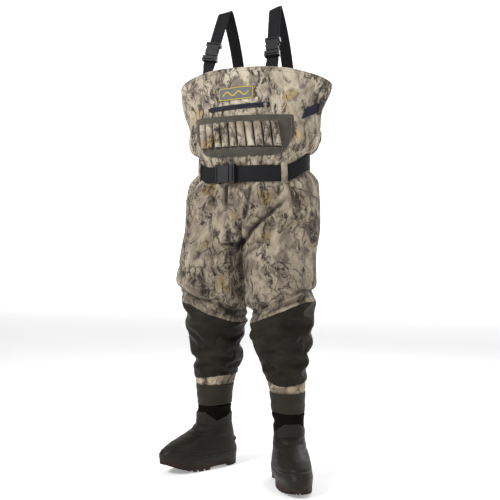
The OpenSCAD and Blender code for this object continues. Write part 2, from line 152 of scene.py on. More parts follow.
def leg_mm(side, face, t, z, out=0.0):
    """A point of a leg: t is 0 at its inner side and 1 at its outer side."""
    a = radians(180 * t)
    px = -side * (column(LEGS[side], z, HALF_X) + out) * cos(a)
    return turned(side, z, px, face * (column(LEGS[side], z, HALF_Y) + out) * sin(a))


def ring_mm(side, a, z, out):
    """A point of a leg by its angle a round it."""
    px = (column(LEGS[side], z, HALF_X) + out) * cos(a)
    return turned(side, z, px, (column(LEGS[side], z, HALF_Y) + out) * sin(a))


def into_leg(z):
    """0 in the torso, 1 in the legs."""
    return smooth((CROTCH_TOP - z) / (CROTCH_TOP - CROTCH_BOTTOM))


def trouser_mm(side, face, t, z, out=0.0):
    w = into_leg(z)
    if w <= 0:
        return torso_mm(side * t, face, z, out)
    if w >= 1:
        return leg_mm(side, face, t, z, out)
    return torso_mm(side * t, face, z, out).lerp(leg_mm(side, face, t, z, out), w)


def hem_z(s, face):
    if face == FRONT:
        return HEM_FRONT - HEM_SIDE_DROP * s * s
    return HEM_FRONT - HEM_SIDE_DROP - HEM_BACK_DROP * (1 - s * s)


def seam_z(t):
    return mix(SEAM_INNER, SEAM_OUTER, smooth(t * 1.2 - 0.1))


def to_frame(v):
    """CAD millimetres, before the CAD model is centred, to the row frame."""
    return Vector(v) * MM + MIDDLE


def chest_mm(x, z, out):
    """The chest's point at x and z."""
    zs = z + waist_shift(0, z, FRONT)
    s = asin((x - column(TORSO, zs, MID_X)) / column(TORSO, zs, HALF_X)) / radians(90)
    return torso_mm(s, FRONT, z, out)


def chest_at(x, z, out):
    return to_frame(chest_mm(x, z, out))


# ---- materials
class Look:
    """A new material with its node tree and Principled shader, and the nodes that go into it."""

    def __init__(self, name, rough=0.8, sheen=0.0, shine=0.22):
        self.mat = bpy.data.materials.new(name)
        self.mat.use_nodes = True
        self.tree = self.mat.node_tree
        self.inputs = self.tree.nodes["Principled BSDF"].inputs
        for key, value in (("Roughness", rough), ("Sheen Weight", sheen), ("Specular IOR Level", shine)):
            self.inputs[key].default_value = value

    def feed(self, socket, value):
        """Links a socket into another one, or sets a plain value there."""
        if hasattr(value, "is_linked"):
            self.tree.links.new(value, socket)
        elif isinstance(value, tuple) and socket.type == "RGBA":
            socket.default_value = (*value, 1)
        else:
            socket.default_value = value

    def node(self, kind, ins=(), **values):
        """A node; ins are (input, socket or value) pairs, and values its properties."""
        n = self.tree.nodes.new("ShaderNode" + kind)
        for key, value in values.items():
            setattr(n, key, value)
        for key, value in ins:
            self.feed(n.inputs[key], value)
        return n

    def coords(self, scale=(1, 1, 1), kind="Object"):
        """Texture coordinates stretched by scale; kind is Object or UV."""
        where = self.node("TexCoord").outputs[kind]
        return self.node("Mapping", [("Vector", where), ("Scale", scale)]).outputs["Vector"]

    def ramp(self, fac, *stops):
        """A colour ramp; stops are (place, colour or grey)."""
        n = self.node("ValToRGB", [("Fac", fac)])
        while len(n.color_ramp.elements) < len(stops):
            n.color_ramp.elements.new(0.5)
        for e, (place, colour) in zip(n.color_ramp.elements, stops):
            e.position = place
            e.color = (*colour, 1) if isinstance(colour, tuple) else (colour, colour, colour, 1)
        return n.outputs["Color"]

    def noise(self, where, scale, detail=4.0, rough=0.5, distortion=0.0, out="Fac"):
        ins = [("Vector", where), ("Scale", scale), ("Detail", detail), ("Roughness", rough)]
        return self.node("TexNoise", [*ins, ("Distortion", distortion)]).outputs[out]

    def wave(self, where, direction, scale, distortion=0.0):
        ins = [("Vector", where), ("Scale", scale), ("Distortion", distortion)]
        return self.node("TexWave", ins, bands_direction=direction).outputs["Fac"]

    def weave(self, where, threads_per_m):
        """A plain weave's height: two sets of threads that pass over and under each other."""
        return self.maths("MULTIPLY", *(self.wave(where, d, threads_per_m / 3.1416) for d in "XZ"))

    def blend(self, fac, a, b, mode="MIX"):
        n = self.node("Mix", data_type="RGBA", blend_type=mode)
        for k, value in ((0, fac), (6, a), (7, b)):
            self.feed(n.inputs[k], value)
        return n.outputs[2]

    def maths(self, operation, a, b):
        return self.node("Math", [(0, a), (1, b)], operation=operation).outputs[0]

    def finish(self, colour, *bumps):
        """Sets the colour and chains the bumps, each (height socket, strength, distance in metres)."""
        self.feed(self.inputs["Base Color"], colour)
        last = self.inputs["Normal"]
        for height, strength, distance in reversed(bumps):
            n = self.node("Bump", [("Strength", strength), ("Distance", distance), ("Height", height)])
            self.feed(last, n.outputs["Normal"])
            last = n.inputs["Normal"]
        return self.mat


def camo_material(name, tint=(1, 1, 1), scale=1.0):
    """A generic dry-bark camouflage: pale ground, grey shade, dark branching cracks and speckle."""
    m = Look(name, rough=0.86, sheen=0.12)
    flat = m.coords((1.25 * scale, 1.25 * scale, 1.0 * scale))
    warp = m.noise(flat, 9, out="Color")
    shift = m.node("VectorMath", [(0, warp), ("Scale", 0.13)], operation="SCALE").outputs[0]
    where = m.node("VectorMath", [(0, flat), (1, shift)], operation="ADD").outputs[0]
    colour = m.ramp(m.noise(where, 13, 6, 0.62), (0.33, (0.19, 0.155, 0.12)), (0.46, (0.42, 0.36, 0.28)),
                    (0.58, (0.56, 0.50, 0.395)), (0.70, (0.69, 0.64, 0.53)))
    grey = m.ramp(m.noise(where, 19, 7, 0.66, 0.6), (0.51, 0.0), (0.61, 0.85))
    colour = m.blend(grey, colour, (0.165, 0.135, 0.12))
    tan = m.ramp(m.noise(m.coords((1.2, 1.2, 1.0)), 13, 1.5, 0.4), (0.635, 0.0), (0.68, 0.75))
    colour = m.blend(tan, colour, (0.42, 0.305, 0.15))
    cells = m.node("TexVoronoi", [("Vector", where), ("Scale", 17)], feature="DISTANCE_TO_EDGE")
    crack = m.ramp(cells.outputs["Distance"], (0.0, 1.0), (0.06, 0.0))
    crack = m.maths("MULTIPLY", crack, m.ramp(m.noise(flat, 11), (0.47, 0.0), (0.55, 1.0)))
    ins = [("Vector", where), ("Rotation", (0.3, 0.7, 0.2)), ("Scale", (1.0, 1.0, 0.42))]
    slanted = m.node("Mapping", ins).outputs["Vector"]
    fleck = m.ramp(m.noise(slanted, 62, 9, 0.74), (0.47, 0.0), (0.54, 1.0))
    fleck = m.maths("MULTIPLY", fleck, m.ramp(m.noise(slanted, 17, 6, 0.62, 0.5), (0.455, 0.0), (0.54, 1.0)))
    dark = m.maths("MULTIPLY", m.maths("MAXIMUM", crack, fleck), 0.93)
    colour = m.blend(dark, colour, (0.030, 0.022, 0.020))
    colour = m.blend(0.2, colour, m.ramp(m.noise(flat, 420, 2), (0.3, 0.35), (0.7, 1.0)), "MULTIPLY")
    colour = m.blend(1.0, colour, tint, "MULTIPLY")
    # Darker towards the bottom: the colour is dimmed by its height in metres.
    height = m.node("SeparateXYZ", [(0, m.coords())]).outputs["Z"]
    darker_below = m.ramp(height, (0.90, (0.66, 0.63, 0.59)), (1.06, (1.0, 0.985, 0.95)))
    colour = m.blend(1.0, colour, darker_below, "MULTIPLY")
    # Painted shade: darker and duller down in the creases, by the mesh's own crease attribute.
    deep = m.node("Attribute", attribute_name="crease").outputs["Fac"]
    colour = m.blend(m.maths("MULTIPLY", deep, 0.9), colour, (0.030, 0.024, 0.020))
    return m.finish(colour, (m.noise(flat, 48, 4, 0.6), 0.5, 0.002), (m.weave(m.coords(), 900), 0.25, 0.0003))


def cloth_material(name, dark, light, rough=0.85, sheen=0.1, threads=700, wrinkle=0.4):
    """A plain woven cloth with uneven dye and rubbed high spots."""
    m = Look(name, rough, sheen, 0.12)
    where = m.coords()
    colour = m.ramp(m.noise(where, 12, 6, 0.6), (0.3, dark), (0.7, light))
    colour = m.blend(0.35, colour, m.ramp(m.noise(where, 330, 3, 0.7), (0.35, 0.45), (0.65, 1.0)), "MULTIPLY")
    soft = m.noise(where, 60, 4, 0.6)
    return m.finish(colour, (soft, wrinkle, 0.0014), (m.weave(where, threads), 0.35, 0.0004))


def webbing_material(name, dark, light):
    """Woven webbing: diagonal ribs along the length, from the ribbon's own UVs (metres)."""
    m = Look(name, rough=0.66, sheen=0.02)
    uv = m.coords(kind="UV")
    ribs = m.maths("MULTIPLY", m.wave(uv, "Y", 200, 0.4), m.wave(uv, "X", 95))
    height = m.maths("ADD", ribs, m.maths("MULTIPLY", m.wave(uv, "DIAGONAL", 160), 0.4))
    return m.finish(m.ramp(height, (0.1, dark), (1.0, light)), (height, 0.6, 0.0006))


def rubber_material(name, dark, light, rough=0.42, grain=900):
    """Satin moulded rubber with a fine grain, scuffs and dust in patches."""
    m = Look(name, rough=rough, shine=0.24)
    where = m.coords()
    scuff = m.noise(m.coords((1, 1, 3)), 30, 8, 0.7)
    m.feed(m.inputs["Roughness"], m.ramp(scuff, (0.35, rough - 0.08), (0.7, rough + 0.2)))
    return m.finish(m.ramp(m.noise(where, 9, 5, 0.55), (0.3, dark), (0.7, light)),
                    (m.noise(where, 40, 3), 0.15, 0.001), (m.noise(where, grain, 2), 0.2, 0.0002))


def grained(name, noise_args, dark, light, bump, **shading):
    """One fine noise that gives both the colour from dark to light and the bump (strength, distance)."""
    m = Look(name, **shading)
    tone = m.noise(m.coords(), *noise_args)
    return m, m.finish(m.ramp(tone, (0.3, dark), (0.7, light)), (tone, *bump))


def plastic_material(name, colour):
    """Moulded acetal with a spark-eroded texture."""
    m = Look(name, rough=0.38, shine=0.5)
    stops = (0.3, tuple(0.85 * c for c in colour)), (0.7, tuple(1.2 * c for c in colour))
    return m.finish(m.ramp(m.noise(m.coords(), 60, 3), *stops), (m.noise(m.coords(), 1500, 2), 0.25, 0.00015))


def metal_material(name):
    m, mat = grained(name, (400, 4), (0.35, 0.34, 0.33), (0.62, 0.61, 0.6), (0.15, 0.0002), rough=0.32)
    m.inputs["Metallic"].default_value = 0.9
    return mat


def thread_material(name, colour):
    dark = tuple(0.6 * c for c in colour)
    return grained(name, (2500, 2), dark, colour, (0.4, 0.0002), rough=0.7, sheen=0.3)[1]


MAT = {
    "camo": camo_material("camo_cloth"),
    # camo_trim is the camo darkened by a fifth, as painted shade for the shell loops and their deep gaps. The
    # shell panel, belt loops and hip pocket welts use it too.
    "camo_trim": camo_material("camo_trim", tint=(0.80, 0.78, 0.78), scale=1.3),
    "camo_cuff": camo_material("camo_cuff", tint=(1.25, 1.2, 1.1), scale=0.85),
    "olive": cloth_material("olive_cloth", (0.008, 0.0066, 0.0042), (0.023, 0.019, 0.0125), 0.6, 0.03, 420, 0.8),
    "pocket": cloth_material("pocket_cloth", (0.058, 0.052, 0.041), (0.110, 0.099, 0.080), 0.85, 0.2, 700, 0.4),
    # Near-black cloth: painted shade for the gaps between the shell loops.
    "loop_gap_painted_shade": cloth_material("loop_gap_painted_shade", (0.006, 0.005, 0.004), (0.012, 0.010, 0.008)),
    "gaiter": cloth_material("gaiter_cloth", (0.021, 0.0185, 0.012), (0.034, 0.030, 0.021), 0.6, 0.05, 900, 0.2),
    "lining": cloth_material("lining_cloth", (0.10, 0.10, 0.095), (0.16, 0.16, 0.15), 0.8, 0.1, 900, 0.3),
    "neoprene": grained("neoprene", (600, 3, 0.7), (0.002, 0.0016, 0.001), (0.007, 0.0055, 0.0035), (0.4, 0.0003),
                        rough=0.9, shine=0.06)[1],
    "boot": rubber_material("boot_rubber", (0.0095, 0.0076, 0.0048), (0.0175, 0.0145, 0.0098), 0.5),
    "sole": rubber_material("sole_rubber", (0.014, 0.008, 0.0058), (0.030, 0.0175, 0.0125), 0.6, 500),
    "webbing": webbing_material("webbing", (0.0025, 0.0025, 0.003), (0.0085, 0.0082, 0.0115)),
    "tab_webbing": webbing_material("tab_webbing", (0.008, 0.009, 0.016), (0.030, 0.033, 0.055)),
    "plastic": plastic_material("buckle_plastic", (0.0085, 0.0085, 0.0098)),
    "metal": metal_material("zip_metal"),
    "zip": cloth_material("zip_cloth", (0.012, 0.012, 0.022), (0.026, 0.027, 0.045), 0.6, 0.2, 1200, 0.1),
    "badge": cloth_material("badge_cloth", (0.13, 0.128, 0.128), (0.19, 0.187, 0.187), 0.7, 0.2, 1500, 0.05),
    "badge_edge": thread_material("badge_edge", (0.80, 0.62, 0.03)),
    "insole": cloth_material("insole_felt", (0.05, 0.05, 0.055), (0.09, 0.09, 0.10), 0.9, 0.3, 300, 0.6),
    "stitch_dark": thread_material("stitch_dark", (0.05, 0.042, 0.034)),
    "stitch_pale": thread_material("stitch_pale", (0.42, 0.36, 0.27)),
}


# ---- mesh helpers
BOX_FACES = ((3, 2, 1, 0), (4, 5, 6, 7), (0, 1, 5, 4), (1, 2, 6, 5), (2, 3, 7, 6), (3, 0, 4, 7))


def link_object(name, data):
    obj = bpy.data.objects.new(name, data)
    bpy.context.scene.collection.objects.link(obj)
    return obj


def add_object(name, verts, faces, slot, *looks, uvs=None, shade=True):
    """A piece of the garment body, with its materials by name; slot is not used."""
    mesh = bpy.data.meshes.new(name)
    mesh.from_pydata([tuple(v) for v in verts], [], faces)
    if uvs is not None:
        layer = mesh.uv_layers.new(name="along")
        for loop in mesh.loops:
            layer.data[loop.index].uv = uvs[loop.vertex_index]
    mesh.polygons.foreach_set("use_smooth", [shade] * len(mesh.polygons))
    mesh.validate()
    obj = link_object(name, mesh)
    for look in looks:
        mesh.materials.append(MAT[look])
    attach(obj, "garment")
    return obj


def grid_faces(nu, nv, flip=False, wrap=False, start=0):
    """Quads of a grid of nu columns by nv rows of vertices."""
    faces = []
    for j in range(nv - 1):
        for i in range(nu if wrap else nu - 1):
            k = (i + 1) % nu
            low, high = start + j * nu, start + (j + 1) * nu
            quad = [low + i, low + k, high + k, high + i]
            faces.append(quad[::-1] if flip else quad)
    return faces


def thicken(obj, amount, offset=-1.0, inner_slot=0):
    m = obj.modifiers.new("thickness", "SOLIDIFY")
    m.thickness, m.offset, m.material_offset = amount, offset, inner_slot


def soften(obj):
    m = obj.modifiers.new("smooth", "SUBSURF")
    m.levels = m.render_levels = 1


def rounded(obj, width, angle=30):
    m = obj.modifiers.new("edge", "BEVEL")
    m.width, m.segments, m.limit_method, m.harden_normals = width, 2, "ANGLE", True
    m.angle_limit = radians(angle)


# ---- the sewn garment
# One welded skin is draped as cloth, then parted into its panels.
N_ROUND = 56
ROWS = {"bib": 46, "hip": 40, "thigh": 26, "shin": 42}
# Height and how much longer the cloth is cut than the way it covers, along Z.
LENGTHEN = [
    (291, 1.02), (330, 1.05), (380, 1.09), (450, 1.09), (500, 1.05), (520, 1.14), (565, 1.14), (620, 1.05),
    (700, 1.03), (780, 1.02), (900, 1.03), (960, 1.03), (1010, 1.04), (1060, 1.04), (1110, 1.02),
    (1280, 1.01),
]
# The bib and trousers are cut straight here and gathered by the belt.
CUT_HALF_WIDTH, CUT_HALF_DEPTH = 222, 124
GATHER_TOP, GATHER_BOTTOM = 1090, 790
SETTLE_STEPS, SETTLE_PASSES = 90, 5
# Each round's damping and fall in metres, and the pull back to the body's line.
DAMPING, FALL, GUIDE = 0.9, 0.00006, 0.004
BIAS_STIFFNESS, BENDING_STIFFNESS = 0.35, 0.22
# Creases pressed into the front: from (x, z) to (x, z), depth, half width, all in millimetres.
CREASES = [
    ((-22, 742), (124, 862), 15, 7), ((-8, 712), (70, 752), 9, 7), ((-66, 928), (-62, 838), 15, 6),
    ((20, 934), (2, 812), 15, 6), ((-78, 738), (-24, 744), 15, 7), ((-12, 800), (-26, 745), 12, 7),
    ((-150, 905), (-95, 850), 9, 7), ((92, 935), (112, 880), 14, 6), ((-185, 640), (-120, 600), 9, 8),
    ((30, 650), (95, 610), 9, 8), ((-110, 760), (-175, 690), 8, 9), ((60, 800), (150, 770), 8, 9),
]


def rest_z(z):
    """Height in the cloth's own, longer shape."""
    total, low, f_low = float(LENGTHEN[0][0]), *LENGTHEN[0]
    for high, f_high in LENGTHEN[1:]:
        top = min(z, high)
        if top <= low:
            break
        f_top = mix(f_low, f_high, (top - low) / (high - low))
        total += (top - low) * (f_low + f_top) / 2
        low, f_low = high, f_high
    return total


def rest_mm(side, face, t, z, p):
    """Where a point lies in the cloth's own, wider and longer shape."""
    w = into_leg(z)
    zs = z + waist_shift(side * t, z, face)
    middle = Vector((column(TORSO, zs, MID_X), column(TORSO, zs, MID_Y), 0))
    if w > 0:
        leg = Vector((column(LEGS[side], z, MID_X), column(LEGS[side], z, MID_Y), 0))
        if t == 0 and w < 1:
            leg = Vector((column(TORSO, zs, MID_X), 0, 0))
        middle = middle.lerp(leg, w)
    gx = gy = 1.0
    if GATHER_BOTTOM < zs < GATHER_TOP:
        gx = max(1.0, CUT_HALF_WIDTH / column(TORSO, zs, HALF_X))
        gy = max(1.0, CUT_HALF_DEPTH / column(TORSO, zs, HALF_Y))
    wide = 1.03 if z > 520 else 1.04
    off_x, off_y = p.x - middle.x, p.y - middle.y
    return Vector((middle.x + off_x * gx * wide, middle.y + off_y * gy * wide, rest_z(z)))


def flare(side, face, t, z):
    """How the skin's sides stand out: flared at the bib's top, drawn in at the tab, full under the belt."""
    if z < 1020:
        under_belt = smooth((961 - z - waist_shift(side * t, z, face)) / 22)
        low = 895 if side == RIGHT else 920
        return 18 * smooth((t - 0.3) / 0.5) * under_belt * (1 - smooth((low - z) / 150))
    edge = smooth((t - 0.5) / 0.42)
    if side == RIGHT:
        return edge * (15 * smooth((z - 1120) / 45) + 6 * bell(z - 1062, 30))
    return edge * (15 * smooth((z - 1182) / 34) - 8 * bell(z - 1158, 17) + 6 * bell(z - 1090, 32)) + (
        6 * smooth((t - 0.8) / 0.2) * smooth((z - 1198) / 22))


def crease_depth(p):
    """The relief of all the pressed creases at a point of the front."""
    out = 0.0
    for (x0, z0), (x1, z1), deep, half in CREASES:
        dx, dz = x1 - x0, z1 - z0
        u = ((p.x - x0) * dx + (p.z - z0) * dz) / (dx * dx + dz * dz)
        if -0.2 < u < 1.2:
            off = abs((p.x - x0) * dz - (p.z - z0) * dx) / hypot(dx, dz)
            ends = smooth((u + 0.2) / 0.35) * smooth((1.2 - u) / 0.35)
            out += deep * ends * (0.45 * bell(off - 2.2 * half, half) - bell(off, half))
    return out


def behind_pocket(x):
    """1 where the chest pocket covers the bib, 0 beside it."""
    return smooth((178 - abs(x + 12)) / 24)


def pressed(side, face, t, z, zone, p):
    """Pleats at the belt, rolls over the knee seams and creases, in millimetres; inwards is negative."""
    s = side * t
    zs = z + waist_shift(s, z, face)
    out = 0.0
    if z > 740:
        a = radians(s * 90 if face == FRONT else 180 - s * 90)
        phase = 19 * a + 1.5 * sin(4 * a + 1) + 1.1 * sin(9 * a + 2)
        valley = (1 - abs(sin(phase))) ** 3.2
        own = 0.55 + 0.9 * wobble(2.6 * a, 5, face)
        reach = 42 + 46 * wobble(3.7 * a, 1, face)
        off = abs(zs - BELT_Z)
        fade = smooth((off - 21) / 12) * (1 - smooth((off - reach) / 60))
        if face == FRONT and z > 985:
            fade *= 1 - behind_pocket(p.x) * smooth((z - 985) / 12)
        out += clamp01(own) * fade * (3.5 - 19 * valley)
    if face == FRONT and z < 950:
        out += crease_depth(p) * smooth((964 - zs) / 14)
    if z < 900:
        a = radians(side * face * 180 * t)
        ring = Vector((2.1 * cos(a), 2.1 * sin(a), 3.1 * side))
    if zone == "shin":
        line = wobble_from(ring * 0.62, 0, 7, 0.030 * z + 0.5 * sin(a))
        own = wobble_from(ring * 0.9, 3, 0, 0.021 * z)
        out -= 6 * bell(line, 0.07) * band(z, 345, 500, 45) * clamp01(0.5 + 2.5 * own)
    if zone == "thigh" or zone == "hip" and z < 860:
        line = wobble_from(ring * 0.8, 5, 1, 0.011 * z + 0.8 * cos(a))
        out -= 5 * bell(line, 0.05) * band(z, 600, 820, 40)
    if zone == "thigh":
        n1, n2 = noise.noise(ring), wobble_from(ring * 1.7, 4, 4, 4)
        over = z - seam_z(t)
        full = 6 - (6 if side == LEFT else 3) * smooth((t - 0.55) / 0.3)
        out += (full + 3 * (1 - t)) * bell(over - 64 - 12 * n2, 24)
        out -= 25 * bell(over - 34 - 14 * n1, 8) * clamp01(0.9 + 1.1 * n2) * (1 - 0.55 * t)
        out -= 17 * bell(over - 15 - 8 * n2, 6) * clamp01(0.6 - 1.6 * n2) * (1 - 0.4 * t)
    return out


def fold_seed(side, face, t, z):
    """The first slight swell of each fold, in millimetres; the cloth deepens it as it settles."""
    s = side * t
    zs = z + waist_shift(s, z, face)
    a = radians(s * 90 if face == FRONT else 180 - s * 90)
    if z < CROTCH_BOTTOM:
        a = radians(side * face * 180 * t)
    ring = Vector((sin(a), cos(a), 0))
    shift = Vector((side * 7.1, side * 3.3, 0)) if z < 760 else Vector((0, 0, 0))
    wave = sin(46 * a + 2.2 * sin(5 * a + 1) + 1.5 * sin(11 * a))
    belt = bell(zs - BELT_Z, 75)
    out = belt * (2.6 * wave + 2.6 * wobble_from(ring * 7, 0, 0, zs * 0.004))
    if z > 700:
        spread = band(zs, 760, 1110, 90)
        out += 11 * spread * (1 - 0.6 * belt) * wobble_from(ring * 5.5, 0, 0, zs * 0.0045)
    if z > 1000:
        side_on = smooth((abs(s) - 0.45) / 0.3)
        out += 7 * side_on * wobble_from(ring * 2.5, z * 0.011, 3, z * 0.006)
        out += 3 * wobble_from(ring * 2, 5, z * 0.01, 0)
    if z < 900:
        out += 5 * wobble_from(ring * 1.6 + shift, 0, 0, z * 0.011)
        out += 2.5 * wobble_from(ring * 3.5 + shift, 0, 0, z * 0.03)
    ridge = wobble_from(ring * 1.5 + shift, 0, 0, z * 0.034)
    out += 11 * band(z, 485, 640, 40) * ridge
    crease = wobble_from(ring * 1.2 + shift * 2, 0, 0, z * 0.028 + 0.7 * sin(a))
    return out + 10 * band(z, 320, 500, 50) * crease * (1.0 if face == BACK else 0.75)


def shin_hem(side, face, t):
    """The lower legs end in a shallow point at the front, over the cuff."""
    return 321 - 13 * sin(pi * t) * (1 if face == FRONT else 0.4) + 1.5 * sin(9 * t + side)


def skin_z(zone, v, side, face, t):
    if zone == "bib":
        return mix(hem_z(side * t, face), WAIST_Z, v)
    if zone == "hip":
        return mix(WAIST_Z, CROTCH_BOTTOM, v)
    if zone == "thigh":
        return mix(CROTCH_BOTTOM, seam_z(t), v)
    return mix(seam_z(t), shin_hem(side, face, t), v)


def skin_hold(side, face, t, z, zone, v):
    """How firmly a point of the skin is held in place while the cloth settles, 0 to 1."""
    s = side * t
    firm = 1.0 if abs(z + waist_shift(s, z, face) - BELT_Z) < 25 else 0.0
    if face == FRONT and 985 < z < 1222:
        inside = behind_pocket(torso_mm(s, face, z).x)
        firm = max(firm, inside * smooth((z - 985) / 25) * smooth((1222 - z) / 14))
    if zone == "bib" and v < 0.06:
        firm = max(firm, 0.9 - 8 * v)
    if zone == "shin" and v > 0.97:
        firm = max(firm, 0.6)
    return firm


def build_skin():
    """Each vertex's place, seed, cloth-shape place, hold and pressing, and the faces with their panels."""
    rows = [(zone, j / n) for zone, n in ROWS.items() for j in range(n)] + [("shin", 1.0)]
    index, points, faces, panels = {}, [], [], []
    crotch_row = ROWS["bib"] + ROWS["hip"]
    for side in SIDES:
        for face in FACES:
            ids = {}
            for j, (zone, v) in enumerate(rows):
                for i in range(N_ROUND + 1):
                    t = i / N_ROUND
                    z = skin_z(zone, v, side, face, t)
                    key = (side, face, i, j)
                    if i == N_ROUND:
                        key = ("out", side, j)
                    elif i == 0:
                        key = ("mid", face, j) if j < crotch_row else ("in", side, j)
                        if j == crotch_row:
                            key = "crotch"
                    if key not in index:
                        index[key] = len(points)
                        p = trouser_mm(side, face, t, z, flare(side, face, t, z))
                        if i == 0 and z <= CROTCH_TOP and j <= crotch_row:
                            p = (p + trouser_mm(-side, face, 0, z)) / 2
                            if j == crotch_row:
                                p.y = 0
                        firm = skin_hold(side, face, t, z, zone, v)
                        seed = fold_seed(side, face, t, z) * (1 - firm if z > 1000 else 1)
                        points.append((p, seed, rest_mm(side, face, t, z, p), firm,
                                       pressed(side, face, t, z, zone, p)))
                    ids[i, j] = index[key]
            for j in range(len(rows) - 1):
                for i in range(N_ROUND):
                    quad = [ids[i, j], ids[i + 1, j], ids[i + 1, j + 1], ids[i, j + 1]]
                    faces.append(quad if side * face > 0 else quad[::-1])
                    kind = rows[j][0] if rows[j][0] in ("bib", "shin") else "trouser"
                    panels.append((kind, side, face))
    return *(list(values) for values in zip(*points)), faces, panels


def vertex_normals(points, quads):
    """Outward unit normals of a quad skin, as an array."""
    p = points[quads]
    n = np.cross(p[:, 2] - p[:, 0], p[:, 3] - p[:, 1])
    out = np.zeros_like(points)
    for k in range(4):
        np.add.at(out, quads[:, k], n)
    return out / np.maximum(np.linalg.norm(out, axis=1), 1e-9)[:, None]


def cloth_links(quads, rest):
    """(ends, rest length, stiffness) of the threads, the bias and the bending of the cloth."""
    edge_of, links = {}, {}
    for q in quads.tolist():
        for k in range(4):
            a, b = q[k], q[(k + 1) % 4]
            links[min(a, b), max(a, b)] = 1.0
            edge_of.setdefault((min(a, b), max(a, b)), []).append((q[k - 1], a, b, q[(k + 2) % 4]))
        links[min(q[0], q[2]), max(q[0], q[2])] = BIAS_STIFFNESS
        links[min(q[1], q[3]), max(q[1], q[3])] = BIAS_STIFFNESS
    for pairs in edge_of.values():
        if len(pairs) == 2:
            (p0, a0, _, n0), (p1, _, b1, n1) = pairs
            if a0 == b1:
                p1, n1 = n1, p1
            for a, b in ((p0, p1), (n0, n1)):
                if a != b:
                    links.setdefault((min(a, b), max(a, b)), BENDING_STIFFNESS)
    ends = np.array(list(links))
    stiff = np.array(list(links.values()))
    return ends, np.linalg.norm(rest[ends[:, 0]] - rest[ends[:, 1]], axis=1), stiff


def colour_links(ends, n):
    """Parts the links into groups in which no vertex appears twice."""
    used = [0] * n
    group = np.zeros(len(ends), dtype=int)
    for k, (a, b) in enumerate(ends.tolist()):
        free = ~(used[a] | used[b])
        bit = free & -free
        used[a] |= bit
        used[b] |= bit
        group[k] = bit.bit_length() - 1
    return [np.nonzero(group == g)[0] for g in range(group.max() + 1)]


def drape(verts, seeds, cut, firm, press, quads):
    """Lets the skin settle as cloth over an inner form; returns its vertices in metres."""
    base = np.array([tuple(to_frame(v)) for v in verts])
    out = vertex_normals(base, quads)
    start = base + out * seeds[:, None] * MM
    folds = out * press[:, None] * MM
    move = 1 - firm
    ends, length, stiff = cloth_links(quads, cut)
    # A firmly held place isn't squeezed by the extra cloth beside it.
    here = np.linalg.norm(start[ends[:, 0]] - start[ends[:, 1]], axis=1)
    firm_link = np.minimum(firm[ends[:, 0]], firm[ends[:, 1]])
    length = length * (1 - firm_link) + here * firm_link
    groups = []
    for pick in colour_links(ends, len(base)):
        a, b = ends[pick, 0], ends[pick, 1]
        total = np.maximum(move[a] + move[b], 1e-6)
        shares = [(stiff[pick] * move[k] / total)[:, None] for k in (a, b)]
        groups.append((a, b, length[pick], *shares))
    # How far in and out of the body's line the cloth may go; less at the ankle.
    cuff = np.clip((base[:, 2] - 0.325) / 0.03, 0, 1)
    inward = np.where(firm > 0.5, 0.0, 0.0015 + 0.0075 * cuff)
    outward = np.where(base[:, 2] > 0.99, 0.013, 0.0125 * np.maximum(cuff, 0.25))
    x, speed = start.copy(), np.zeros_like(start)
    for _ in range(SETTLE_STEPS):
        before = x.copy()
        x = x + (speed * DAMPING + np.array([0, 0, -1]) * FALL) * move[:, None]
        for _ in range(SETTLE_PASSES):
            for a, b, want, ka, kb in groups:
                d = x[b] - x[a]
                far = np.sqrt(np.einsum("ij,ij->i", d, d))
                pull = d * ((far - want) / np.maximum(far, 1e-9))[:, None]
                x[a] += pull * ka
                x[b] -= pull * kb
            # The body inside keeps the cloth out, and its own hang keeps it in.
            off = np.einsum("ij,ij->i", x - base, out)
            x += out * ((np.clip(off, -inward, outward) - off) * move)[:, None]
        x = x + (base + out * off[:, None] - x) * GUIDE * move[:, None]
        speed = x - before
    return [Vector(p) for p in x + folds]


skin_verts, skin_seeds, skin_rest, skin_holds, skin_press, skin_faces, skin_panels = build_skin()
cut_shape = np.array([tuple(v) for v in skin_rest]) * MM
settled = drape(skin_verts, np.array(skin_seeds), cut_shape, np.array(skin_holds), np.array(skin_press),
                np.array(skin_faces))
skin_tree = bvhtree.BVHTree.FromPolygons(settled, skin_faces)


def panel_object(name, faces, slot, look):
    """A panel of the skin: its own thick sheet, smoothed, that knows how deep its creases are, for the camo's
    painted shade in them.
    """
    used = sorted({k for f in faces for k in f})
    where = {k: n for n, k in enumerate(used)}
    verts, quads = [settled[k] for k in used], [[where[k] for k in f] for f in faces]
    obj = add_object(name, verts, quads, slot, look, "lining")
    # How deep each crease is, 0 to 1: the camo paints shade into it by this weight.
    crease = obj.data.attributes.new("crease", "FLOAT", "POINT")
    crease.data.foreach_set("value", [clamp01((-skin_press[k] - 3) / 10) for k in used])
    soften(obj)
    thicken(obj, 0.0022, inner_slot=1)
    return obj


# Slot, look, how it's held and what it hangs from.
PANELS = {
    "bib": ("camo_cloth", "camo", "gathered", ["strap_right", "strap_left"]),
    "shin": ("olive_cloth", "olive", "hung", ["belt_webbing"]),
    "trouser": ("camo_cloth", "camo", "gathered", ["belt_webbing"]),
}
for kind, (slot, look, held, hangs_from) in PANELS.items():
    for sides in [SIDES] if kind == "bib" else [(RIGHT,), (LEFT,)]:
        for face in FACES:
            stem = f"{kind}_{FACE_NAME[face]}" + ("" if kind == "bib" else f"_{SIDE_NAME[sides[0]]}")
            wanted = [(kind, side, face) for side in sides]
            these = [f for f, panel in zip(skin_faces, skin_panels) if panel in wanted]
            piece = panel_object("soft_" + stem, these, slot, look)
            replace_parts(piece, stem)


# ---- trims that lie on the skin
def on_skin(p_mm, out):
    """The nearest place on the settled skin to a CAD point, stood off along its normal, and that normal."""
    at, normal, _, _ = skin_tree.find_nearest(to_frame(p_mm))
    return at + normal * out * MM, normal


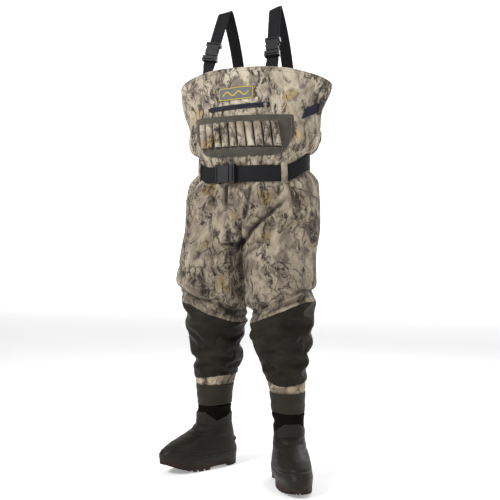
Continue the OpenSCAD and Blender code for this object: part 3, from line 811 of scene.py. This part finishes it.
def surface_grid(name, f, nu, nv, slot, look, thick, stands_for, offset=0.0):
    """A sheet from f(u, v) in metres, with UVs in metres along and across it."""
    verts, uvs = [], []
    rows = [[Vector(f(i / nu, j / nv)) for i in range(nu + 1)] for j in range(nv + 1)]
    along = 0.0
    for j, row in enumerate(rows):
        if j:
            along += (rows[j][nu // 2] - rows[j - 1][nu // 2]).length
        across = 0.0
        for i, p in enumerate(row):
            if i:
                across += (p - row[i - 1]).length
            verts.append(p)
            uvs.append((across, along))
    obj = add_object(name, verts, grid_faces(nu + 1, nv + 1), slot, look, uvs=uvs)
    thicken(obj, thick, offset)
    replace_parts(obj, stands_for)
    return obj


# A stitch's pitch, length and sink into the cloth, and its sections: place along it and share of its radius.
STITCH_PITCH, STITCH_LENGTH, STITCH_SINK = 3.4, 2.3, 0.1
STITCH_SECTIONS = ((-0.5, 0.35), (-0.3, 1.0), (0.3, 1.0), (0.5, 0.35))
STITCH_ARCH = ((1, 0), (0.5, 0.87), (-0.5, 0.87), (-1, 0))


def stitch_line(points, normals, radius):
    """Vertices (m) and faces of a row of stitches along points (m)."""
    verts, faces = [], []
    lengths = [0.0]
    for a, b in zip(points, points[1:]):
        lengths.append(lengths[-1] + (b - a).length)
    k = 0
    s = STITCH_PITCH * MM / 2
    while s < lengths[-1] - STITCH_LENGTH * MM / 2:
        while k < len(lengths) - 2 and lengths[k + 1] < s:
            k += 1
        w = (s - lengths[k]) / max(lengths[k + 1] - lengths[k], 1e-9)
        p, n = points[k].lerp(points[k + 1], w), normals[k].lerp(normals[k + 1], w).normalized()
        t = (points[k + 1] - points[k]).normalized()
        b = n.cross(t).normalized()
        start = len(verts)
        for along, r in STITCH_SECTIONS:
            for c, d in STITCH_ARCH:
                side = (b * c + n * d) * radius * r * MM
                verts.append(p + t * along * STITCH_LENGTH * MM + side - n * STITCH_SINK * MM)
        for j in range(3):
            for q in range(start + j * 4, start + j * 4 + 3):
                faces.append([q, q + 4, q + 5, q + 1])
        s += STITCH_PITCH * MM
    return verts, faces


def stitches(name, lines, slot, look="stitch_dark", radius=0.42):
    """One piece of all the stitch rows; each line is a list of (point, normal)."""
    verts, faces = [], []
    for line in lines:
        v, f = stitch_line(*zip(*line), radius)
        faces += [[k + len(verts) for k in q] for q in f]
        verts += v
    add_object(name, verts, faces, slot, look)


def skin_line(points_mm, out=0.25):
    return [on_skin(p, out) for p in points_mm]


TUBE_SIDES = 8


def tube(name, points, radius, slot, look, closed=False):
    """A round bar along points, in metres."""
    n = len(points)
    verts, faces = [], []
    for k, p in enumerate(points):
        a = points[(k - 1) % n] if closed or k else p
        b = points[(k + 1) % n] if closed or k < n - 1 else p
        t = (b - a).normalized()
        u = t.cross(Vector((0, 0, 1)) if abs(t.z) < 0.9 else Vector((1, 0, 0))).normalized()
        w = u.cross(t).normalized()
        for i in range(TUBE_SIDES):
            g = 2 * pi * i / TUBE_SIDES
            verts.append(p + (u * cos(g) + w * sin(g)) * radius)
    for k in range(n if closed else n - 1):
        for i in range(TUBE_SIDES):
            a, b, j = k * TUBE_SIDES, ((k + 1) % n) * TUBE_SIDES, (i + 1) % TUBE_SIDES
            faces.append([a + i, a + j, b + j, b + i])
    if not closed:
        faces += [list(range(TUBE_SIDES))[::-1], list(range((n - 1) * TUBE_SIDES, n * TUBE_SIDES))]
    return add_object(name, verts, faces, slot, look)


# ---- chest pocket, shell loops, badge
POCKET_TOP, POCKET_BOTTOM, POCKET_X, POCKET_HALF, POCKET_NARROWS = 1122, 1000, -11, 158, 34
PANEL_LEFT, PANEL_RIGHT, PANEL_TOP, PANEL_BOTTOM = -144, 112, 1108, 1018
PANEL_COLUMNS, PANEL_ROWS = 60, 24
LOOP_COUNT, LOOP_PITCH, LOOP_MID_X, LOOP_MID_Z, LOOP_HEIGHT, LOOP_LEAN = 10, 24.6, -16, 1063, 74, 7
BADGE_X, BADGE_Z, BADGE_SLOPE = -24, 1190, 0.045


def pocket_full(x, z):
    """How far the soft pocket stands off the chest: it sags and creases at its foot."""
    u, v = clamp01((x + 165) / 310), clamp01((POCKET_TOP - z) / (POCKET_TOP - POCKET_BOTTOM))
    lift = 3 + 9 * sin(pi * u) * smooth(v * 6) * smooth((1 - v) * 6)
    inside = sin(pi * u) ** 0.6
    swell = 9 * inside * bell(v - 0.85, 0.1)
    crease = 4.5 * wobble(x * 0.03, z * 0.06, 4) * smooth((v - 0.3) * 2.2)
    return lift + swell + crease * inside


def pocket_at(u, v):
    half = POCKET_HALF - POCKET_NARROWS * max(0, v) ** 4
    x = POCKET_X + mix(-half, half, u)
    z = mix(POCKET_TOP, POCKET_BOTTOM + 9 * abs(2 * u - 1) ** 7, v) - 3 * sin(pi * u) * v
    sides = min(1, 14 * u, 14 * (1 - u))
    full = pocket_full(x, z) if v > 0.02 else 4.5
    return chest_at(x, z, mix(0.6, full, smooth(min(sides, 10 * (1 - v)))))


def panel_at(u, v):
    x, z = mix(PANEL_LEFT, PANEL_RIGHT, u), mix(PANEL_TOP, PANEL_BOTTOM, v)
    return chest_at(x, z, pocket_full(x, z) + 1.2)


def chest_line(points, out):
    """A line over the chest: (point, normal) pairs from (x, z) in CAD millimetres, out(x, z) off the bib."""
    line = []
    for x, z in points:
        p = chest_at(x, z, out(x, z))
        line.append((p, (chest_at(x, z, 60) - p).normalized()))
    return line


def along(a, b, n):
    return [(mix(a[0], b[0], k / n), mix(a[1], b[1], k / n)) for k in range(n + 1)]


surface_grid("soft_pocket", pocket_at, 72, 40, "pocket_cloth", "pocket", 0.0016, "chest_pocket", offset=-1)
backing = surface_grid("soft_shell_panel", panel_at, PANEL_COLUMNS, PANEL_ROWS, "camo_cloth", "camo_trim",
                       0.0012, "shell_panel", offset=1)
# The narrow gaps between the loops get a near-black cloth: painted deep shade.
backing.data.materials.append(MAT["loop_gap_painted_shade"])
for face in backing.data.polygons:
    row, place = divmod(face.index, PANEL_COLUMNS)
    x, w = mix(PANEL_LEFT, PANEL_RIGHT, (place + 0.5) / PANEL_COLUMNS), (row + 0.5) / PANEL_ROWS
    lane = (x - LOOP_MID_X + LOOP_LEAN / 2 - LOOP_LEAN * w) / LOOP_PITCH
    if 0.1 < w < 0.9 and abs(lane - round(lane)) < 0.2:
        face.material_index = 1
loop_verts, loop_faces = [], []
nu, nv = 16, 14
for i in range(LOOP_COUNT):
    lean = -LOOP_LEAN + 1.6 * sin(1.7 * i + 0.4)
    full = 13.2 + 1.5 * sin(2.9 * i)
    loop_faces += grid_faces(nu + 1, nv + 1, start=len(loop_verts))
    for v in (j / nv for j in range(nv + 1)):
        z = LOOP_MID_Z + LOOP_HEIGHT * (0.5 - v)
        for k in range(nu + 1):
            a = pi * k / nu
            hem = 1 - 0.16 * (smooth(1 - v * 9) + smooth(1 - (1 - v) * 9))
            ripple = 0.7 * wobble(i * 3.1, k * 0.5, v * 7)
            x = LOOP_MID_X + (i - 4.5) * LOOP_PITCH + lean * (0.5 - v) - 9.3 * cos(a)
            stand = (full * hem + ripple) * sin(a) ** 0.8 if 0 < k < nu else 0
            loop_verts.append(chest_at(x, z, pocket_full(x, z) + 2.6 + stand))
loops = add_object("soft_shell_loops", loop_verts, loop_faces, "camo_cloth", "camo_trim")
thicken(loops, 0.0013)
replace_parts(loops, "shell_loops")

pocket_rim = []
for side, places in ((-1, np.linspace(0.03, 0.96, 40)), (1, np.linspace(0.96, 0.03, 40))):
    if side == 1:
        foot = np.linspace(-112, 112, 60)
        pocket_rim += [(POCKET_X + x, POCKET_BOTTOM + 5 - 3 * cos(x / 84)) for x in foot]
    for v in places:
        half = POCKET_HALF - POCKET_NARROWS * v ** 4 - 6
        pocket_rim.append((POCKET_X + side * half, mix(POCKET_TOP, POCKET_BOTTOM, v)))
seam_lines = [
    chest_line(pocket_rim, lambda x, z: 3.6),
    chest_line(along((-160, 1115), (140, 1115), 60), lambda x, z: pocket_full(x, z) + 0.4),
]
for z in (PANEL_TOP - 3, PANEL_BOTTOM + 3):
    edge = along((PANEL_LEFT + 3, z), (PANEL_RIGHT - 3, z), 60)
    seam_lines.append(chest_line(edge, lambda x, z: pocket_full(x, z) + 2.6))
stitches("pocket_stitches", seam_lines, "pocket_cloth", "stitch_pale")
gap_lines = []
for k in range(LOOP_COUNT + 1):
    x = LOOP_MID_X + (k - 5) * LOOP_PITCH
    gap = along((x - 3.5, 1098), (x + 3.5, 1028), 24)
    gap_lines.append(chest_line(gap, lambda x, z: pocket_full(x, z) + 2.7))
stitches("loop_stitches", gap_lines, "camo_cloth")


def badge_point(x, z, out):
    return chest_at(x, z + BADGE_SLOPE * (x - BADGE_X), out)


def badge_at(u, v):
    edge = smooth(min(1, 10 * u, 10 * (1 - u), 6 * v, 6 * (1 - v)))
    return badge_point(mix(-81, 32, u), mix(1209, 1171, v), mix(0.8, 2.6, edge) + 0.4 * sin(7 * u + 3 * v))


def squared(w, power):
    """A cosine or sine whose circle is squared off."""
    return copysign(abs(w) ** power, w) if w else 0.0


surface_grid("soft_badge", badge_at, 44, 20, "badge_cloth", "badge", 0.001, "badge", offset=-1)
# A plain device: one rolling line in a border.
border = []
for a in (2 * pi * k / 160 for k in range(160)):
    x, z = -24.5 + 54.5 * squared(cos(a), 0.22), BADGE_Z + 17.4 * squared(sin(a), 0.22)
    border.append(badge_point(x, z, 3.0))
tube("badge_border", border, 0.0010, "badge_cloth", "badge_edge", closed=True)
wave = [badge_point(x, BADGE_Z + 6 * sin((x - BADGE_X) * 0.17), 3.1) for x in np.linspace(-66, 17, 70)]
tube("badge_wave", wave, 0.0018, "badge_cloth", "badge_edge")

# ---- zip
ZIP_AXIS = Vector((-3, 247, 1150))
ZIP_R, ZIP_START, ZIP_END = 376, -17.5, 12.5
ZIP_TURN = Matrix.Rotation(radians(-2.5), 3, "Y")
ZIP_PROFILE = [(-7.5, -1.5), (-7, 1.2), (-5.5, 2.0), (-2.2, 2.2), (-1.4, 1.3), (1.4, 1.3), (2.2, 2.2),
               (5.5, 2.0), (7, 1.2), (7.5, -1.5)]
ZIP_STEPS, TEETH = 60, 96
# A tooth's corners: shares of its half width, depth and half height.
TOOTH = ((-1, 0, -1), (1, 0, -1), (1, 0, 1), (-1, 0, 1),
         (-0.6, 1, -0.7), (0.6, 1, -0.7), (0.6, 1, 0.7), (-0.6, 1, 0.7))


def zip_point(turn, up, out):
    a = radians(turn - 90)
    return to_frame(ZIP_AXIS + ZIP_TURN @ Vector(((ZIP_R + out) * cos(a), (ZIP_R + out) * sin(a), up)))


zip_verts = []
for k in range(ZIP_STEPS + 1):
    turn = mix(ZIP_START - 0.3, ZIP_END + 0.3, k / ZIP_STEPS)
    taper = 1 - 0.25 * (smooth(1 - k / 2) + smooth(1 - (ZIP_STEPS - k) / 2))
    zip_verts += [zip_point(turn, up * taper, out * taper) for up, out in ZIP_PROFILE]
zip_faces = grid_faces(len(ZIP_PROFILE), ZIP_STEPS + 1, flip=True)
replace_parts(add_object("soft_zip_welt", zip_verts, zip_faces, "zip_cloth", "zip"), "zip_tape")
tooth_verts, tooth_faces = [], []
for k in range(TEETH):
    turn = mix(ZIP_START + 0.4, ZIP_END - 1.4, k / (TEETH - 1))
    for up, shift in ((-0.55, -0.07), (0.55, 0.07)):
        tooth_faces += [[len(tooth_verts) + q for q in f] for f in BOX_FACES[1:]]
        for x, y, z in TOOTH:
            tooth_verts.append(zip_point(turn + shift + x * 0.085, up + z * 0.75, 1.2 + y * 0.8))
add_object("zip_teeth", tooth_verts, tooth_faces, "zip_cloth", "plastic", shade=False)


# ---- belt and its loops
def round_waist(turn):
    """A turn round the waist, in degrees from the front's middle, as the torso's s and face."""
    a = radians(turn)
    return asin(max(-1, min(1, sin(a)))) / (pi / 2), FRONT if cos(a) > 0 else BACK


def belt_mm(turn, up, out):
    s, face = round_waist(turn)
    p = torso_mm(s, face, belt_mid_z(s, face), 6 + out)
    return Vector((p.x, p.y, p.z + up))


def belt_at(u, v):
    turn = mix(-11.2, 337, v)
    wander = 0.8 * wobble(turn * 0.05, 2, 0)
    bow = 0.7 * (1 - (2 * u - 1) ** 2)
    return to_frame(belt_mm(turn, 50 * (0.5 - u) + wander, 1 + bow * wobble(turn * 0.08, 0, 5)))


surface_grid("soft_belt", belt_at, 8, 260, "webbing", "webbing", 0.0021, "belt_webbing")
loop_verts, loop_faces = [], []
nu, nv = 8, 24
for turn in (-62, 42, 130, 230):
    loop_faces += grid_faces(nu + 1, nv + 1, start=len(loop_verts), flip=True)
    for v in (j / nv for j in range(nv + 1)):
        up = 36 * (1 - 2 * v)
        for u in (i / nu for i in range(nu + 1)):
            a = turn + mix(-3.5, 3.5, u) + 0.25 * sin(5 * v + turn)
            if abs(up) > 31:
                s, face = round_waist(a)
                p = on_skin(torso_mm(s, face, belt_mid_z(s, face) + up), 1.4)[0]
            else:
                p = to_frame(belt_mm(a, up, 4.6 + 1.2 * cos(up / 31 * 1.5)))
            loop_verts.append(p)
belt_loops = add_object("soft_belt_loops", loop_verts, loop_faces, "camo_cloth", "camo_trim")
soften(belt_loops)
thicken(belt_loops, 0.0016, offset=0.0)
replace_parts(belt_loops, "belt_loops")

# ---- shoulder straps and tabs
# Where each strap leaves the bib and its direction, its bend over the shoulder, its bow behind and its end.
FOOT = {RIGHT: Vector((-124.537, -108.115, 1270)), LEFT: Vector((88.2444, -117.959, 1270))}
RISE = {RIGHT: Vector((0.158403, 0.32566, 0.932123)), LEFT: Vector((-0.0612544, 0.365346, 0.928854))}
APEX = {RIGHT: Vector((-88, -33, 1485)), LEFT: Vector((74, -33, 1486))}
BOW = {RIGHT: Vector((-78, 92, 1330)), LEFT: Vector((90, 92, 1330))}
TAIL = {RIGHT: Vector((-74, 103, 1150)), LEFT: Vector((90, 102, 1150))}
STRAP_W, MOUTH_AT, APEX_ROUND = 38, 50, 34
# How far the tab lies inside the bib.
TAB_IN = -4.6


def across(d):
    return Vector((d.z, 0, -d.x)).normalized()


def bent(a, b, c, w):
    return a * (1 - w) ** 2 + b * 2 * w * (1 - w) + c * w * w


def strap_line(side, v):
    a = FOOT[side] + RISE[side] * (MOUTH_AT + 3)
    b = APEX[side]
    b0, b1 = b - RISE[side] * APEX_ROUND, b + (BOW[side] - b).normalized() * APEX_ROUND
    if v < 0.3:
        return a.lerp(b0, v / 0.3)
    if v > 0.6:
        return bent(b1, BOW[side], TAIL[side], (v - 0.6) / 0.4)
    return bent(b0, b, b1, (v - 0.3) / 0.3)


def strap_at(side, u, v):
    e = 0.002
    t = (strap_line(side, min(1, v + e)) - strap_line(side, max(0, v - e))).normalized()
    down = (BOW[side] - APEX[side]).normalized()
    w = across(RISE[side]).lerp(-across(down), smooth((v - 0.3) / 0.3))
    w.z += 0.28 * bell(v - 0.47, 0.2)
    n = w.normalized().cross(t).normalized()
    curl = 0.9 * sin(9 * v + side) * (2 * u - 1) ** 2
    return to_frame(strap_line(side, v) + w.normalized() * STRAP_W * (u - 0.5) + n * curl)


def tab_at(side, u, v):
    foot = FOOT[side]
    x = foot.x + STRAP_W * (u - 0.5)
    if v > 0.5:
        return chest_at(x, mix(1270, 1226, 2 * v - 1), TAB_IN)
    rise = (MOUTH_AT - 3) * (1 - 2 * v)
    free = foot + RISE[side] * rise + across(RISE[side]) * STRAP_W * (u - 0.5)
    low = chest_mm(x, 1270, TAB_IN) + RISE[side] * rise
    return to_frame(low.lerp(free, smooth(rise / 22)))


def box_cross(side):
    """The box with a cross that sews a strap tab down."""
    x0 = FOOT[side].x
    ring = [(x0 - 15, 1262), (x0 + 15, 1262), (x0 + 15, 1228), (x0 - 15, 1228), (x0 - 15, 1262)]
    lines = [along(a, b, 10) for a, b in zip(ring, ring[1:])]
    lines += [along(ring[0], ring[2], 12), along(ring[1], ring[3], 12)]
    return [chest_line(line, lambda x, z: 0.2) for line in lines]


for side, name in SIDE_NAME.items():
    for stem, f, n in ((f"strap_{name}", strap_at, 150), (f"bib_tab_{name}", tab_at, 50)):
        surface_grid("soft_" + stem, partial(f, side), 8, n, "webbing", "webbing", 0.002, stem)
    stitches(f"tab_stitches_{name}", box_cross(side), "camo_cloth", radius=0.5)


# ---- side tension tab
def tension_at(u, v):
    p = torso_mm(mix(0.60, 0.88, v), FRONT, mix(1140, 1112, u) + 30 * v)
    return on_skin(p, 3.0 + 1.0 * sin(pi * v))[0]


surface_grid("soft_side_tab", tension_at, 8, 26, "tab_webbing", "tab_webbing", 0.0018, "side_tab")
rails = []
for s in (0.835, 0.905):
    rails.append([on_skin(torso_mm(s, FRONT, mix(1184, 1128, k / 14)), 6.0)[0] for k in range(15)])
rungs = [[rails[0][k].lerp(rails[1][k], w / 6) for w in range(7)] for k in (1, 5, 9, 13)]
ladder = tube("hard_ladder_rail_0", rails[0], 0.0019, "buckle_plastic", "plastic")
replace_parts(ladder, "side_ladder")
tube("hard_ladder_rail_1", rails[1], 0.0019, "buckle_plastic", "plastic")
for k, rung in enumerate(rungs):
    tube(f"hard_ladder_rung_{k}", rung, 0.0017, "buckle_plastic", "plastic")


# ---- seams and stitching of the garment
def mouth_line(side, low, n):
    """A hip pocket's slanted mouth, low millimetres under its edge."""
    points = []
    for w in np.linspace(0, 1, n):
        points.append(torso_mm(side * mix(0.42, 0.93, w), FRONT, mix(908, 862, w ** 1.4) - low))
    return points


garment_rows, knee_rows = [], []
for face in FACES:
    for low in (7, 14):
        hem = [torso_mm(s, face, hem_z(s, face) - low) for s in np.linspace(-0.97, 0.97, 150)]
        garment_rows.append(skin_line(hem))
for side in SIDES:
    for face in FACES:
        for up in (3, 9):
            seam = [leg_mm(side, face, t, seam_z(t) + up) for t in np.linspace(0.03, 0.97, 70)]
            knee_rows.append(skin_line(seam))
OUTSEAM = [(side, 1 + off, rows) for side in SIDES for off in (-0.018, -0.05)
           for rows in (range(1225, 1010, -6), range(945, 572, -6))]
FLY = [(LEFT, off, range(905, 806, -6)) for off in (0.02, 0.05)]
for side, t, heights in OUTSEAM + FLY:
    garment_rows.append(skin_line([trouser_mm(side, FRONT, t, z) for z in heights]))
garment_rows += [skin_line(mouth_line(side, low, 40)) for side in SIDES for low in (0, 5)]
stitches("garment_stitches", garment_rows, "camo_cloth", radius=0.5)
stitches("knee_stitches", knee_rows, "olive_cloth", radius=0.5)
for side, name in SIDE_NAME.items():
    welt = [on_skin(p, 0.5)[0] for p in mouth_line(side, -3, 50)]
    tube(f"hip_pocket_welt_{name}", welt, 0.0021, "camo_cloth", "camo_trim")


# ---- cuffs, gaiters and ankle sleeves
def leg_sleeve(name, side, top, bottom, out, slot, look, thick, swell, stands_for):
    """A sleeve round a leg down to bottom(a); swell(a, v) is its own relief in millimetres."""
    nu, nv = 88, 30
    verts = []
    for v in (j / nv for j in range(nv + 1)):
        for a in (2 * pi * i / nu for i in range(nu)):
            verts.append(to_frame(ring_mm(side, a, mix(top, bottom(a), v), out + swell(a, v))))
    obj = add_object(name, verts, grid_faces(nu, nv + 1, wrap=True, flip=True), slot, look)
    soften(obj)
    thicken(obj, thick)
    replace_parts(obj, stands_for)


def crease(seed, tall, deep, turns, a, v):
    return deep * noise.noise(Vector((turns * cos(a), turns * sin(a), v * tall + seed)))


def cuff_relief(side, a, v):
    """Drawn in at the top under the lower leg, and standing level with the gaiter above it."""
    return crease(3 + side, 2.5, 1.2, 2.2, a, v) - 8 * (1 - smooth((v - 0.25) / 0.13)) + (
        3.0 * (1 - smooth((v - 0.77) / 0.05)))


def gaiter_relief(side, a, v):
    """Soft folds, with a bead at each end."""
    folds = crease(9 + side, 3.2, 3.0, 1.1, a, v) * sin(pi * v)
    return folds + 0.3 * bell(v - 0.04, 0.035) + 1.2 * bell(v - 0.95, 0.035)


def gaiter_bottom(side, a):
    return GAITER_BOTTOM[side] + 2.5 * sin(2 * a + 1)


for side, name in SIDE_NAME.items():
    leg_sleeve(f"soft_cuff_{name}", side, 330, lambda a: 262, -3.6, "camo_cloth", "camo_cuff", 0.002,
               partial(cuff_relief, side), f"cuff_{name}")
    leg_sleeve(f"soft_gaiter_{name}", side, GAITER_TOP, partial(gaiter_bottom, side), 0.4, "gaiter_cloth",
               "gaiter", 0.0025, partial(gaiter_relief, side), f"gaiter_{name}")

# ---- boots
# Height, reach to the toe, reach to the heel, half width.
BOOT = [
    (180, 58, 56, 44), (140, 63, 57, 43), (120, 92, 61, 45), (104, 131, 65, 48), (88, 170, 68, 51),
    (74, 190, 71, 53), (60, 204, 74, 55), (42, 213, 75, 55), (26, 213, 73, 53),
]
BOOT_AT = {RIGHT: Vector((-163, 68, 0)), LEFT: Vector((123, -50, 0))}
BOOT_TURN = {RIGHT: 31, LEFT: 23}
TOE_SPRING = {RIGHT: 34, LEFT: 12}
# Height and how far out of the boot's line, down the sole's side.
SOLE_PROFILE = [(42, 0.5), (42, 2.4), (40, 3.6), (24, 5.0), (18, 5.0), (15, 3.8), (13, 4.8), (7, 4.8),
                (7, -14)]
LUGS, LUG_TOP = 46, 11.0


def boot_raw(a, z, out):
    """A point of the boot before it's turned; a is 0 at the toe, positive to its left."""
    c, s = cos(a), sin(a)
    reach = column(BOOT, z, 1 if c > 0 else 2) + out
    slim = mix(0.9, 1, max(smooth(c + 0.2), smooth((z - 90) / 30)))
    return Vector(((column(BOOT, z, 3) + out) * slim * squared(s, 0.82), -reach * squared(c, 0.88), z))


def boot_place(side, p):
    """Sets a boot point in the frame; the toe springs up off the ground."""
    t = radians(side * BOOT_TURN[side])
    at = BOOT_AT[side]
    spring = TOE_SPRING[side] * clamp01((-p.y - 96) / 115) ** 1.7 * clamp01(1 - p.z / 110)
    return to_frame((at.x + p.x * cos(t) - p.y * sin(t), at.y + p.x * sin(t) + p.y * cos(t), p.z + spring))


def boot_rim(a):
    """The shaft's top: high in front, cut down to a V at each side and lower behind."""
    off = 1.2 - acos(max(-1, min(1, cos(a))))
    return 151 + (29 if off > 0 else 20) * clamp01(abs(off) / 0.8) ** 0.85


def boot_relief(a, z):
    """Moulded detail: foxing, toe bumper, heel ledge, ankle creases, instep panel and rim bead."""
    c = cos(a)
    fox_top = 50 + 14 * smooth((c - 0.6) / 0.3) + 10 * smooth((-c - 0.6) / 0.3)
    out = 2.0 * smooth((fox_top - z) / 2.2)
    out -= 0.9 * band(z, fox_top - 6 - 1.2, fox_top - 6 + 1.2, 0.8)
    out += 5.5 * smooth((-c - 0.55) / 0.35) * band(z, 76, 88, 4)
    out -= 2.6 * smooth((c - 0.1) / 0.5) * bell(z - 123, 5)
    out -= 1.6 * smooth((c - 0.0) / 0.5) * bell(z - 110, 4)
    out -= 1.0 * smooth((c - 0.3) / 0.4) * bell(z - 139, 4)
    out += 1.3 * (smooth((c - 0.35) / 0.2) * smooth((z - 66) / 3) * smooth((112 - z) / 6))
    out += 1.2 * bell(z - boot_rim(a) + 2.5, 2.6)
    out += 0.7 * bell(z - boot_rim(a) + 11, 1.5)
    return out + 0.5 * wobble(3 * cos(a), 3 * sin(a), z * 0.02) * smooth(c * 1.6)


def boot_piece(name, side, verts, faces, slot, look, thick):
    obj = add_object(f"soft_{name}_{SIDE_NAME[side]}", verts, faces, slot, look)
    thicken(obj, thick)
    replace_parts(obj, f"{name}_{SIDE_NAME[side]}")
    return obj


def ankle_sleeve(side):
    """Neoprene that runs from inside the gaiter down into the boot's shaft."""
    nu, nv = 110, 44
    verts = []
    for v in (j / nv for j in range(nv + 1)):
        z = mix(ANKLE_TOP + 14, ANKLE_BOTTOM, v)
        for a in (2 * pi * i / nu for i in range(nu)):
            fold = crease(5 - side, 7, 1.8, 0.8, a, v)
            out = -2.2 - 7 * smooth((z - GAITER_BOTTOM[side] + 5) / 6) + fold
            leg = to_frame(ring_mm(side, a - pi / 2, z, out))
            shaft = boot_place(side, boot_raw(a, z, -1.4 + 0.4 * fold))
            low = boot_place(side, boot_raw(a, z, -4.6))
            w = smooth((boot_rim(a) + 1 - z) / 5)
            verts.append(leg.lerp(shaft, smooth((203 - z) / 26)).lerp(low, w))
    boot_piece("ankle", side, verts, grid_faces(nu, nv + 1, wrap=True), "neoprene", "neoprene", 0.003)


def boot_shell(side):
    nu, nv = 168, 96
    verts = []
    for j in range(nv + 1):
        for a in (2 * pi * i / nu - pi for i in range(nu)):
            z = mix(boot_rim(a), 24, j / nv)
            verts.append(boot_place(side, boot_raw(a, z, boot_relief(a, z))))
    boot_piece("boot", side, verts, grid_faces(nu, nv + 1, wrap=True), "boot_rubber", "boot", 0.004)


def sole_edge(a, z, out):
    p = boot_raw(a, 30, out)
    waist = smooth(1 - abs(p.y + 25) / 60) * 7
    p.x -= copysign(waist, p.x) if p.x else 0
    p.z = z
    return p


def add_lug(verts, faces, side, corners):
    """A tapered block from the ground up into the sole."""
    middle = sum(corners, Vector()) / 4
    faces += [[len(verts) + q for q in f] for f in BOX_FACES]
    for z, grow in ((0.0, 0.94), (LUG_TOP, 1.0)):
        for c in corners:
            p = middle + (c - middle) * grow
            verts.append(boot_place(side, Vector((p.x, p.y, z))))


def outsole(side):
    """The sole, with lugs round its edge and a row of bars between them; the arch stands clear."""
    nu = 150
    verts = []
    for z, out in SOLE_PROFILE:
        for a in (2 * pi * i / nu - pi for i in range(nu)):
            lift = 1.6 * smooth((cos(a) - 0.7) / 0.3) if z < 20 else 0
            verts.append(boot_place(side, sole_edge(a, z + lift, out)))
    faces = grid_faces(nu, len(SOLE_PROFILE), wrap=True)
    faces.append([(len(SOLE_PROFILE) - 1) * nu + i for i in range(nu)])
    for k in range(LUGS):
        a0, a1 = (2 * pi * (k + share) / LUGS - pi for share in (0.16, 0.84))
        if -52 < sole_edge((a0 + a1) / 2, 0, 0).y < 14:
            continue
        deep = -13 if k % 2 else -9
        corners = ((a0, 4.8), (a1, 4.8), (a1, deep), (a0, deep))
        add_lug(verts, faces, side, [sole_edge(a, 0, out) for a, out in corners])
    for y in list(range(-188, -54, 19)) + [27, 44, 60]:
        half = (30 if y < 0 else 24) * smooth((y + 215) / 50)
        for s in (-1, 1):
            corners = ((3, -7), (half, -12), (half, 3), (3, 8))
            add_lug(verts, faces, side, [Vector((s * x, y + dy, 0)) for x, dy in corners])
    obj = add_object(f"hard_outsole_{SIDE_NAME[side]}", verts, faces, "sole_rubber", "sole")
    rounded(obj, 0.0008, 50)
    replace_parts(obj, f"outsole_{SIDE_NAME[side]}")


def insole(side):
    nu, rings = 96, 8
    verts = []
    for w in (1 - 0.985 * j / rings for j in range(rings + 1)):
        for a in (2 * pi * i / nu for i in range(nu)):
            p = boot_raw(a, 30, -8)
            verts.append(boot_place(side, Vector((p.x * w, (p.y + 50) * w - 50, 29.5 + 2.2 * (w ** 4)))))
    faces = grid_faces(nu, rings + 1, wrap=True) + [[rings * nu + i for i in range(nu)]]
    boot_piece("insole", side, verts, faces, "insole_foam", "insole", 0.003)


for side in SIDES:
    ankle_sleeve(side)
    boot_shell(side)
    outsole(side)
    insole(side)

# ---- rounded copies of the CAD model's hard parts
for name, part in frame["nodes"].items():
    metal = name in ("zip_slider", "zip_pull")
    if not metal and not name.startswith(("buckle", "belt_female", "belt_male", "belt_prong", "prong")):
        continue
    hard = link_object("hard_" + name, part.data.copy())
    hard.data.materials.clear()
    hard.data.materials.append(MAT["metal" if metal else "plastic"])
    rounded(hard, 0.0006)
    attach(hard, next(b for b, nodes in frame["record"]["behaviour"]["bodies"].items() if name in nodes))
    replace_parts(hard, name)


# ---- floor, light and camera
def area_light(name, at, aim, size, power):
    data = bpy.data.lights.new(name, "AREA")
    data.shape, data.energy = "RECTANGLE", power
    data.size, data.size_y = size
    obj = link_object(name, data)
    obj.location = at
    obj.rotation_euler = (Vector(aim) - Vector(at)).to_track_quat("-Z", "Y").to_euler()


def backdrop(name, corners, colour, rough, glow):
    """A plane of the studio that gives off a little light of its own."""
    mesh = bpy.data.meshes.new(name)
    mesh.from_pydata(corners, [], [(0, 1, 2, 3)])
    paper = Look(name + "_paper", rough=rough)
    for key, value in (("Base Color", colour), ("Emission Color", (1, 1, 1)), ("Emission Strength", glow)):
        paper.feed(paper.inputs[key], value)
    mesh.materials.append(paper.mat)
    link_object(name, mesh)


backdrop("floor", [(-12, -12, 0), (12, -12, 0), (12, 12, 0), (-12, 12, 0)], (0.92, 0.92, 0.92), 0.9, 0.3)
backdrop("wall", [(-14, 9, -0.5), (14, 9, -0.5), (14, 9, 9), (-14, 9, 9)], (0.8, 0.8, 0.8), 1.0, 1.0)
world = bpy.data.worlds.new("studio")
bpy.context.scene.world = world
world.use_nodes = True
world.node_tree.nodes["Background"].inputs["Color"].default_value = (1, 1, 1, 1)
world.node_tree.nodes["Background"].inputs["Strength"].default_value = 0.24
area_light("key", (-1.9, -2.6, 3.0), (0, 0, 0.8), (0.9, 1.1), 118)
area_light("fill", (2.6, -1.8, 2.2), (0, 0, 0.9), (1.2, 1.6), 34)
area_light("rim", (0.6, 2.2, 2.6), (0, 0, 0.9), (2.2, 1.2), 40)

camera_data = bpy.data.cameras.new("photo_camera")
camera_data.lens, camera_data.sensor_width, camera_data.shift_y = 59.6, 36, 0.02
camera = link_object("photo_camera", camera_data)
camera.location = (0.7877, -2.4843, 0.68)
camera.rotation_euler = Vector((-0.2924, 0.9563, 0)).to_track_quat("-Z", "Y").to_euler()
bpy.context.scene.camera = camera
bpy.context.scene.view_settings.view_transform = "Standard"
